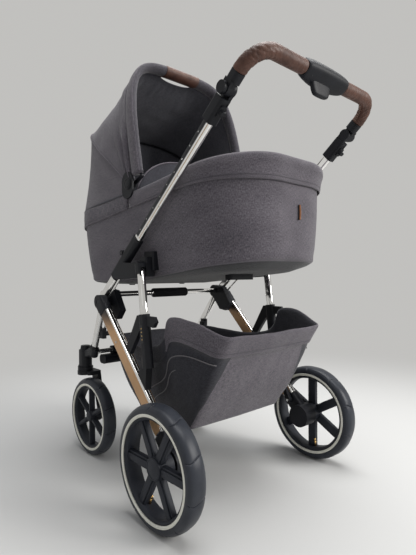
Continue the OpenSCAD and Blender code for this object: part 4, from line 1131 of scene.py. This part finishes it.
# ---- Carry grip -------------------------------------------------------------------------------
# Brown leatherette wrapped round the hem at the crown and stitched, with an open slot below it
# for the hand. It is the handle by which the carrycot is carried.
grip_half = 0.062
grip_turns = []
for step in (-0.002, 0.002):
    turn = math.pi / 2
    while abs(front_line(turn).x) < grip_half:
        turn += step
    grip_turns.append(turn)
sleeve_section = [
    (0.0374, -0.0040), (0.0310, -0.0102), (0.0226, -0.0168), (0.0118, -0.0193), (0.0032, -0.0178),
    (-0.0022, -0.0126), (-0.0043, -0.0062), (-0.0037, -0.0006), (0.0004, 0.0030), (0.0058, 0.0045),
    (0.0130, 0.0050), (0.0212, 0.0047), (0.0294, 0.0036), (0.0352, 0.0016), (0.0386, -0.0012),
]
bm = swept_hem(sleeve_section, *grip_turns)
scale_uv(bm, 0.12, 0.10)
into_scene(bm, "carry_grip", leather, "canopy_front", slot="brown_leather")
for i, edge in enumerate(grip_turns):
    inset = (0.014, -0.014)[i]
    seam = [hem_spot(edge + inset, back, out) for back, out in sleeve_section[5:13]]
    bead(f"carry_grip_stitch_{i}", seam, 0.0006, thread, "canopy_front", "brown_leather")
long_seam = [hem_spot(grip_turns[0] + (grip_turns[1] - grip_turns[0]) * k / 40, -0.0030, -0.0100)
             for k in range(1, 40)]
bead("carry_grip_seam", long_seam, 0.0006, thread, "canopy_front", "brown_leather")

# ---- Basket -----------------------------------------------------------------------------------
# A soft cloth basket hung between the front tubes and the strut housings: black side panels with
# corded seams, a grey rear panel, a folded grey hem along the rear and sides, and a black lining.
basket_floor = 0.181
basket_side = [  # top x, y and z, bottom x and y, from the front corner to the rear corner
    (0.184, -0.2132, 0.378, 0.150, -0.1012),
    (0.196, -0.1152, 0.372, 0.158, -0.0552),
    (0.206, -0.0152, 0.366, 0.163, 0.0148),
    (0.209, 0.0768, 0.380, 0.166, 0.0748),
    (0.210, 0.1040, 0.402, 0.167, 0.0900),
    (0.2140, 0.1150, 0.455, 0.168, 0.0970),
    (0.212, 0.1650, 0.457, 0.168, 0.1130),
    (0.204, 0.2048, 0.449, 0.168, 0.1248),
    (0.192, 0.2500, 0.432, 0.167, 0.1370),
    (0.179, 0.2870, 0.419, 0.166, 0.1478),
]


ring_steps = 288


@functools.cache
def soft_ring(share):
    """The basket's outline at a share of its height, with its corners eased like hanging cloth."""
    half = [Vector((
        b + (a - b) * share, d_bottom + (d - d_bottom) * share, basket_floor + (z - basket_floor) * share,
    )) for a, d, z, b, d_bottom in basket_side]
    rear_dip = Vector((0, half[-1].y + 0.004, half[-1].z - 0.003 * share))
    corners = half + [rear_dip] + [Vector((-p.x, p.y, p.z)) for p in reversed(half)]
    lengths = [(b - a).length for a, b in zip(corners, corners[1:] + corners[:1])]
    total = sum(lengths)
    ring = []
    for i in range(ring_steps):
        walk = total * i / ring_steps
        for a, b, span in zip(corners, corners[1:] + corners[:1], lengths):
            if walk <= span:
                ring.append(a.lerp(b, walk / span))
                break
            walk -= span
        else:
            ring.append(corners[0].copy())
    for i in range(9):
        ring = [(ring[k - 1] + 2 * ring[k] + ring[(k + 1) % ring_steps]) / 4 for k in range(ring_steps)]
    return ring


hem_low = 0.80


def basket_wall(u, share, out, lift=0.0):
    """A point of the wall: out moves it level away from the basket's middle."""
    ring = soft_ring(share)
    place = (u % 1.0) * len(ring)
    low = int(place) % len(ring)
    spot = ring[low].lerp(ring[(low + 1) % len(ring)], place - int(place))
    along = ring[(low + 2) % len(ring)] - ring[low - 2]
    away = Vector((along.y, -along.x, 0)).normalized()
    if away.dot(Vector((spot.x, spot.y - 0.03, 0))) < 0:
        away.negate()
    belly = 0.007 * math.sin(math.pi * min(share / hem_low, 1.0)) if share < hem_low else 0.0
    slack = 0.0035 * noise.noise(Vector((spot.x * 9, spot.y * 9, spot.z * 7))) * (1 if share < hem_low else 0.5)
    crumple = 0.0016 * noise.noise(Vector((spot.x * 30, spot.y * 30, spot.z * 12 + 2)))
    wave = 0.0022 * noise.noise(Vector((spot.x * 22, spot.y * 22, 0.5))) if share > 0.97 else 0.0
    spot = spot + away * (out + (belly + slack + crumple) * min(1.0, share * 4))
    spot.z += lift + wave
    return spot


def basket_base(u, size, lift):
    """A point of the floor, at a share of the way from its middle to its edge; it sags a little."""
    edge = basket_wall(u, 0.0, 0.0)
    middle = Vector((0, 0.023, basket_floor))
    spot = middle.lerp(edge, size)
    spot.z = basket_floor + lift - 0.006 * (1 - size * size)
    return spot


# Rows of the shell: over the floor, up the wall, round the folded hem and down the lining
basket_rows = (
    [("base", s, 0.0) for s in (0.004, 0.35, 0.7, 0.92)]
    + [("wall", t, 0.0, 0.0) for t in (0.0, 0.02, 0.06, 0.13, 0.21, 0.30, 0.39, 0.48, 0.57, 0.66, 0.74, 0.792)]
    + [("wall", 0.795, 0.0030, 0.0), ("wall", 0.81, 0.0036, 0.0), ("wall", 0.835, 0.0030, 0.0)]
    + [("wall", t, 0.0034, 0.0) for t in (0.86, 0.90, 0.94, 0.975)]
    + [("wall", 0.995, 0.0026, 0.0015), ("wall", 1.0, 0.0, 0.0030), ("wall", 1.0, -0.0030, 0.0024)]
    + [("wall", 0.98, -0.0048, 0.0), ("wall", 0.94, -0.0046, 0.0), ("wall", 0.86, -0.0042, 0.0)]
    + [("wall", t, -0.0030, 0.0) for t in (0.78, 0.66, 0.54, 0.42, 0.30, 0.18, 0.08)]
    + [("wall", 0.02, -0.0030, 0.002)]
    + [("base", s, 0.003) for s in (0.92, 0.7, 0.35, 0.004)]
)
last_row = len(basket_rows) - 1
wall_row, hem_row, lining_row = 4, 15.5, 24.5
side_panel_end = 0.104
stitch_share = 0.835
seam_columns = (0.362, 0.548)


@functools.cache
def seam_places(share):
    """Where the rear panel's two seams cross a level, as shares of the outline."""
    ring = soft_ring(share)
    edge = 0.166 + 0.013 * share - 0.036 * (min(share, hem_low) / hem_low) ** 1.5
    rear = [i for i, p in enumerate(ring) if p.y > 0.10 and abs(p.x) < edge]
    return rear[0] / len(ring), rear[-1] / len(ring)


def follow_seam(u, share):
    """Shifts the grid's columns so that two of them lie on the rear panel's seams."""
    near, far = seam_places(share)
    a, b = seam_columns
    if u < a:
        return u / a * near
    if u < b:
        return near + (u - a) / (b - a) * (far - near)
    return far + (u - b) / (1 - b) * (1 - far)


def basket_place(u, v):
    row = basket_rows[min(int(round(v * last_row)), last_row)]
    if row[0] == "base":
        return basket_base(follow_seam(u, 0.0), row[1], row[2])
    return basket_wall(follow_seam(u, row[1]), row[1], row[2], row[3])


def basket_zone(u, v):
    """0 grey cloth, 1 black side panel, 2 black lining."""
    row = v * last_row
    if row > lining_row:
        return 2
    share = basket_rows[int(row)][1]
    if row >= hem_row:
        return 0 if basket_wall(follow_seam(u, share), share, 0.0).y > side_panel_end else 1
    return 0 if row > wall_row and seam_columns[0] < u < seam_columns[1] else 1


bm = shell_grid(ring_steps, last_row, basket_place)
close_ends(bm)
zone_faces(bm, basket_zone)
scale_uv(bm, 1.50, 0.85)
basket = into_scene(bm, "basket_cloth", [melange, side_cloth, lining_black], "chassis", ["basket"], "grey_cloth")


def wall_share(y_line):
    """Where on the near side the wall passes a line y, as a share of the outline."""
    ring = soft_ring(1.0)
    near = [(abs(p.y - y_line), i) for i, p in enumerate(ring) if p.x > 0.1]
    return min(near)[1] / len(ring)


def wall_spot(side, u, share):
    """A point on one side's wall; the right side looks up the cloth opposite the left one."""
    if side < 0:
        spot = basket_wall(u, share, 0.0018)
        opposite = Vector((-spot.x, spot.y, spot.z))
        ring = soft_ring(share)
        u = min(range(len(ring)), key=lambda k: (ring[k] - opposite).length) / len(ring)
    return basket_wall(u, share, 0.0018)


start = wall_share(-0.06)
long = wall_share(0.262) - start
for side, label in SIDES:
    upper = [wall_spot(side, start + long * i / 40, 0.30 + 0.42 * math.sin(i / 40 * math.pi / 2) ** 0.8)
             for i in range(41)]
    bead(f"basket_cord_{label}", upper, 0.0013, seam_grey, "chassis", "grey_cloth")
    lower = [wall_spot(side, start + long * (0.10 + 0.52 * i / 30), 0.18 + 0.36 * (i / 30) ** 0.6)
             for i in range(31)]
    bead(f"basket_low_cord_{label}", lower, 0.0011, seam_grey, "chassis", "grey_cloth")
stitch = [basket_wall(i / 240, stitch_share, 0.0030) for i in range(240)]
stitch = [p for p in stitch if p.y > 0.10]
# Stitch line in the shaded copy of the melange: painted shade in the seam.
bead("basket_hem_stitch", stitch, 0.0006, painted_shade_melange, "chassis", "grey_cloth")

# ---- Mattress ---------------------------------------------------------------------------------
# A thin soft mattress in pale knitted cloth lies in the cot. A cloth simulation with pressure
# inside blows it up a little, as its filling would.
bed_low, bed_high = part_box("mattress")
bed_knit = cloth("bed_knit", (0.62, 0.62, 0.62), (0.78, 0.78, 0.77), 0.7, 0.5)
bed_rows = ((0.02, 0), (0.94, 0), (1.0, 0.35), (1.0, 0.65), (0.94, 1), (0.02, 1))
sim_frames = 20
most_swell = 0.006


def bed_place(u, v):
    """The flat pad before it is blown up; bed_rows hold a share of its size and of its height."""
    half = (bed_high[0] - bed_low[0]) / 2 - 0.006
    low, high = bed_low[1] + 0.006, bed_high[1] - 0.006
    size, lift = bed_rows[int(v * 5 + 0.5)]
    x, y = outline(u, half, low, high, 0.085)
    middle = (low + high) / 2
    y = middle + (y - middle) * size
    climb = (y - bed_low[1]) / (bed_high[1] - bed_low[1])
    base = bed_low[2] + 0.004 + 0.026 * climb
    return Vector((x * size, y, base + 0.020 * lift))


bm = shell_grid(120, 5, bed_place)
close_ends(bm)
mattress = into_scene(bm, "mattress_pad", bed_knit, "cot", ["mattress"], "mattress_cloth")
puff = mattress.modifiers.new("remesh", "REMESH")
puff.mode = "VOXEL"
puff.voxel_size = 0.006
settle(mattress)
swell = mattress.modifiers.new("cloth", "CLOTH")
swell.settings.use_pressure = True
swell.settings.uniform_pressure_force = 3.5
swell.settings.effector_weights.gravity = 0
swell.settings.quality = 5
rest = [v.co.copy() for v in mattress.data.vertices]
swell.point_cache.frame_start = 1
swell.point_cache.frame_end = sim_frames
for moment in range(1, sim_frames + 1):
    scene.frame_set(moment)
settle(mattress)
scene.frame_set(1)
for vert, start in zip(mattress.data.vertices, rest):
    move = vert.co - start
    if move.length > most_swell:
        vert.co = start + move.normalized() * most_swell
mattress.data.polygons.foreach_set("use_smooth", [True] * len(mattress.data.polygons))
mattress.data.materials.clear()
mattress.data.materials.append(bed_knit)

# ---- Console and lever ------------------------------------------------------------------------
# A two-part nylon housing clamped round the middle of the handle with recessed screws, fuller in
# the middle than at its ends, with the squeeze paddle of the fold release below it.


def console_place(u, v):
    """The housing's skin, from end to end; it is fuller below the handle than above."""
    share = 2 * v - 1
    swell = 1 - abs(share) ** 2.6
    ends = (1 - abs(share) ** 14) ** 0.5
    high = (0.0185 + 0.0030 * swell) * (0.86 + 0.14 * ends)
    low = (0.0180 + 0.0105 * swell) * (0.86 + 0.14 * ends)
    deep = (0.0172 + 0.0018 * swell) * (0.88 + 0.12 * ends)
    angle = 2 * math.pi * u
    across, out = math.cos(angle), math.sin(angle)
    reach = (abs(across) ** 3.2 + abs(out) ** 3.2) ** (-1 / 3.2)
    height = (high if out > 0 else low) * out * reach
    spot = tilt_axis + handle_out * (grip_reach + height) + handle_up * (deep * across * reach)
    return Vector((console_half * share, spot.y, spot.z))


bm = shell_grid(64, 60, console_place)
close_ends(bm)
sharpen(into_scene(bm, "console_housing", nylon, "handle", ["console"], "black_plastic"), 50)

paddle_low, paddle_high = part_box("console_lever")
paddle_rows = (
    (0.02, 0.0), (0.62, 0.0), (0.84, 0.05), (0.93, 0.16), (1.0, 0.40), (1.0, 0.75), (0.98, 1.0), (0.02, 1.0),
)


def paddle_place(u, v):
    """A rounded paddle, widest where it enters the housing."""
    size, climb = paddle_rows[int(v * 7 + 0.5)]
    half_x = (paddle_high[0] - paddle_low[0]) / 2 * (0.80 + 0.20 * climb) * size
    half_y = (paddle_high[1] - paddle_low[1]) / 2 * (0.2 + 0.8 * size if size > 0.1 else 0.02)
    angle = 2 * math.pi * u
    across, out = math.cos(angle), math.sin(angle)
    reach = (abs(across) ** 4 + abs(out) ** 4) ** (-1 / 4)
    return Vector((
        (paddle_low[0] + paddle_high[0]) / 2 + half_x * across * reach,
        (paddle_low[1] + paddle_high[1]) / 2 + half_y * out * reach,
        paddle_low[2] + (paddle_high[2] - paddle_low[2]) * climb,
    ))


bm = shell_grid(48, 7, paddle_place)
close_ends(bm)
sharpen(into_scene(bm, "release_paddle", nylon, "squeeze_lever", ["console_lever"], "black_plastic"), 50)


def stud(bm, place, way, radius, tall, steps=20):
    """A low round head on a surface, facing along way."""
    turn = Vector((0, 0, 1)).rotation_difference(Vector(way)).to_matrix().to_4x4()
    bmesh.ops.create_cone(
        bm, cap_ends=True, segments=steps, radius1=radius, radius2=radius * 0.72, depth=tall,
        matrix=Matrix.Translation(place) @ turn,
    )


bm = bmesh.new()
for x in (-0.052, 0.056):
    spot = tilt_axis + handle_out * (grip_reach - 0.004) - handle_up * 0.0178
    stud(bm, Vector((x, spot.y, spot.z)), -handle_up, 0.0021, 0.0012)
into_scene(bm, "console_screws", black_steel, "handle", slot="steel_pin", smooth=False)

# ---- Main tube details ------------------------------------------------------------------------
# Each main tube has a black slide channel let into its outer face, with a row of small steel stop
# pins in it, a fine bronze line beside it, and three steel studs along the tube's lower edge.
tube_foot = Vector((0, -0.1652, 0.503))


def oval_depth(across, flat, corner):
    """How far a rounded edge still stands out at a distance across from the middle."""
    over = max(0.0, abs(across) - flat)
    return math.sqrt(max(corner * corner - over * over, 0.0))


def tube_spot(side, along, across, proud):
    """A point on the oval tube's outer face: across runs towards its upper edge."""
    out = tube_half + oval_depth(across, 0.005, 0.008 + proud)
    return Vector((side * out, 0, 0)) + tube_foot + handle_out * along + handle_up * across


def face_strip(name, ring, spot, start, end, material, body, slot):
    """A thin closed strip laid on a surface: spot(along, across, out) is a point near the surface."""
    def place(u, v):
        return spot(start + (end - start) * v, *ring[int(u * len(ring) + 0.5) % len(ring)])

    bm = shell_grid(len(ring), 24, place)
    close_ends(bm)
    sharpen(into_scene(bm, name, material, body, slot=slot), 40)


def strip_ring(low, high, proud, parts):
    """The section of a strip let into a surface: its face, then its buried back."""
    face = [(low + (high - low) * i / parts, proud) for i in range(parts + 1)]
    return face + [(across, -0.0007) for across, _ in reversed(face)]


channel_start, channel_end = 0.242, 0.586
channel_black = moulded("channel_black", (0.018, 0.019, 0.022), (0.030, 0.031, 0.035), 1200, 0.1, (0.3, 0.4))
for side, label in SIDES:
    for name, low, high, proud, material, slot in (
        ("slide_channel", -0.0034, 0.0086, 0.0002, channel_black, "black_plastic"),
        ("bronze_line", -0.0098, -0.0088, 0.00025, bronze, "bronze_inlay"),
    ):
        face_strip(f"{name}_{label}", strip_ring(low, high, proud, 4), lambda *spot: tube_spot(side, *spot),
                   channel_start, channel_end, material, "handle_tubes", slot)
    bm = bmesh.new()
    for i in range(9):
        spot = tube_spot(side, 0.262 + 0.037 * i, 0.0030, 0.0004)
        stud(bm, spot, (side, 0, 0), 0.0015, 0.0006, 14)
    for along in (0.286, 0.352, 0.447):
        spot = tube_spot(side, along, -0.0105, 0.0002)
        stud(bm, spot, Vector((side * 0.6, 0, 0)) - handle_up * 0.8, 0.0022, 0.0024, 14)
    into_scene(bm, f"tube_studs_{label}", steel, "handle_tubes", slot="steel_pin", smooth=False)

# ---- Strut marks ------------------------------------------------------------------------------
# Four amber marks on each strut housing show the suspension's setting. They are small studs of
# coloured plastic, set in a narrow black insert.
mark_place = (0.2519, 0.0650, 0.4150)
strut_lean = math.radians(6.9)
amber = moulded("amber_mark", (0.55, 0.36, 0.12), (0.66, 0.45, 0.18), 400, 0.1, (0.4, 0.5))
for side, label in SIDES:
    bm = bmesh.new()
    recess = bmesh.ops.create_cube(bm, size=1.0)["verts"]
    pose = Matrix.Translation((side * mark_place[0], *mark_place[1:])) @ Matrix.Rotation(strut_lean, 4, "X")
    bmesh.ops.transform(bm, matrix=pose @ Matrix.Diagonal((0.0012, 0.0075, 0.044, 1)), verts=recess)
    into_scene(bm, f"mark_recess_{label}", channel_black, "rear_frame", slot="black_plastic", smooth=False)
    bm = bmesh.new()
    for i in range(4):
        spot = pose @ Vector((side * 0.0007, 0, -0.0135 + 0.009 * i))
        stud(bm, spot, (side, 0, 0), 0.0021, 0.0008, 14)
    into_scene(bm, f"strut_marks_{label}", amber, "rear_frame", slot="black_plastic", smooth=False)

# ---- Tag --------------------------------------------------------------------------------------
# A short bare loop of woven black tape with a tan piece over its folded edge. Both its ends are
# sewn into the seam at the foot end of the cot.
tag_low, tag_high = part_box("tag_label")
tan_tape = leatherette("tan_tape", (0.34, 0.14, 0.06), (0.46, 0.20, 0.09), 900, 0.2)
tape_black = cloth("tape_black", (0.014, 0.014, 0.016), (0.030, 0.030, 0.033), 1.2, 0.3, on="Object")


def tag_place(u, v):
    """The loop of tape, folded at its outer edge."""
    y = tag_low[1] + (tag_high[1] - tag_low[1]) * (1 - abs(2 * u - 1))
    round_off = min(1.0, (tag_high[1] - y) / 0.002)
    x = (tag_low[0] + tag_high[0]) / 2 + math.copysign(0.0009 * round_off ** 0.5, u - 0.5)
    z = tag_low[2] + (tag_high[2] - tag_low[2]) * v
    return Vector((x - 0.0016 * math.sin(v * math.pi), y, z))


bm = shell_grid(24, 16, tag_place, close_columns=False)
close_ends(bm)
zone_faces(bm, lambda u, v: 1 if abs(2 * u - 1) < 0.36 else 0)
into_scene(bm, "tag_loop", [tape_black, tan_tape], "cot", ["tag_label"], "tag_tape")

# ---- Pivot covers -----------------------------------------------------------------------------
# A raised round nylon button is pressed into each canopy pivot plate, over the pivot. A fine ring
# groove runs round its face.
plate_face = 0.2124
button = [
    (0.0001, -0.001), (0.0165, -0.001), (0.0165, 0.0016), (0.0152, 0.0028), (0.0128, 0.0030),
    (0.0122, 0.0020), (0.0112, 0.0020), (0.0104, 0.0032), (0.0001, 0.0038),
]
for side, label in SIDES:
    bm = turned([(r, plate_face + x) for r, x in button], (0, pivot.y, pivot.z), side, 48, closed=False)
    sharpen(into_scene(bm, f"pivot_button_{label}", nylon, "cot", slot="black_plastic"), 40)

# ---- Leg inlay faces --------------------------------------------------------------------------
# The bronze strips are rolled over the legs' rounded edges, so that only a narrow bright edge of
# the leg is left beside them. Towards the top their colour is painted dark: a painted dark
# reflection of the polished upper end.
leg_drop = math.radians(46.2)
leg_way = Vector((0, math.cos(leg_drop), -math.sin(leg_drop)))
leg_over = Vector((0, math.sin(leg_drop), math.cos(leg_drop)))
leg_place = 0.2445
leg_flat, leg_corner = 0.011, 0.008
inlay_start, inlay_end = 0.0495, 0.4247


def leg_spot(side, facing, along, across, proud):
    """A point on a face of the rear leg; across runs towards its upper edge."""
    depth = 0.003 + oval_depth(across, leg_flat, leg_corner + proud)
    return Vector((side * leg_place + facing * depth, 0, 0)) + tube_foot + leg_way * along + leg_over * across


def darken_above(material, low, high, dark):
    """Fades a material's colour to a dark one between two heights."""
    tree = material.node_tree
    shader = next(n for n in tree.nodes if n.type == "BSDF_PRINCIPLED")
    plain = shader.inputs["Base Color"].links[0].from_socket
    place = add(tree, "ShaderNodeTexCoord")
    split = add(tree, "ShaderNodeSeparateXYZ")
    blend = add(tree, "ShaderNodeMix", data_type="RGBA", in_B=(*dark, 1))
    fade = mapped(tree, split.outputs["Z"], low, high, interpolation_type="SMOOTHSTEP")
    wire(
        tree, (place.outputs["Object"], split.inputs[0]), (fade, blend.inputs["Factor"]),
        (plain, blend.inputs["A"]), (blend.outputs["Result"], shader.inputs["Base Color"]),
    )


satin_bronze = metal("satin_bronze", (0.60, 0.37, 0.20), (0.48, 0.29, 0.15), (0.36, 0.48), (1.0, 0.25, 0.25), 0.55)
# Above z 0.405 m the inlay colour fades to near black: painted dark reflection of the polished upper end.
darken_above(satin_bronze, 0.405, 0.462, (0.05, 0.042, 0.04))
for side, label in SIDES:
    for facing in (1, -1):
        name = f"inlay_face_{label}" + ("_outer" if facing == side else "_inner")
        face_strip(name, strip_ring(-0.0155, 0.0155, 0.0005, 10), lambda *spot: leg_spot(side, facing, *spot),
                   inlay_start, inlay_end, satin_bronze, "rear_frame", "bronze_inlay")

# ---- Cap skirts -------------------------------------------------------------------------------
# The moulded nylon cap at the top of each rear leg runs down over the leg as a close-fitting
# skirt, in one piece with the cap.
skirt_rows = (  # distance down the leg, distance out from its surface
    (0.036, -0.0006), (0.036, 0.0016), (0.044, 0.0022), (0.060, 0.0021), (0.0650, 0.0012), (0.0655, -0.0006),
)


def cap_skirt(side):
    def place(u, v):
        angle = 2 * math.pi * u
        along, out = skirt_rows[int(v * 5 + 0.5)]
        across = max(-1.0, min(1.0, 1.35 * math.sin(angle))) * (leg_flat + leg_corner + out)
        return leg_spot(side, 1 if math.cos(angle) >= 0 else -1, along, across, out)

    return shell_grid(72, 5, place)


for side, label in SIDES:
    skirt = into_scene(cap_skirt(side), f"cap_skirt_{label}", nylon, "rear_frame", slot="black_plastic")
    sharpen(skirt, 50)
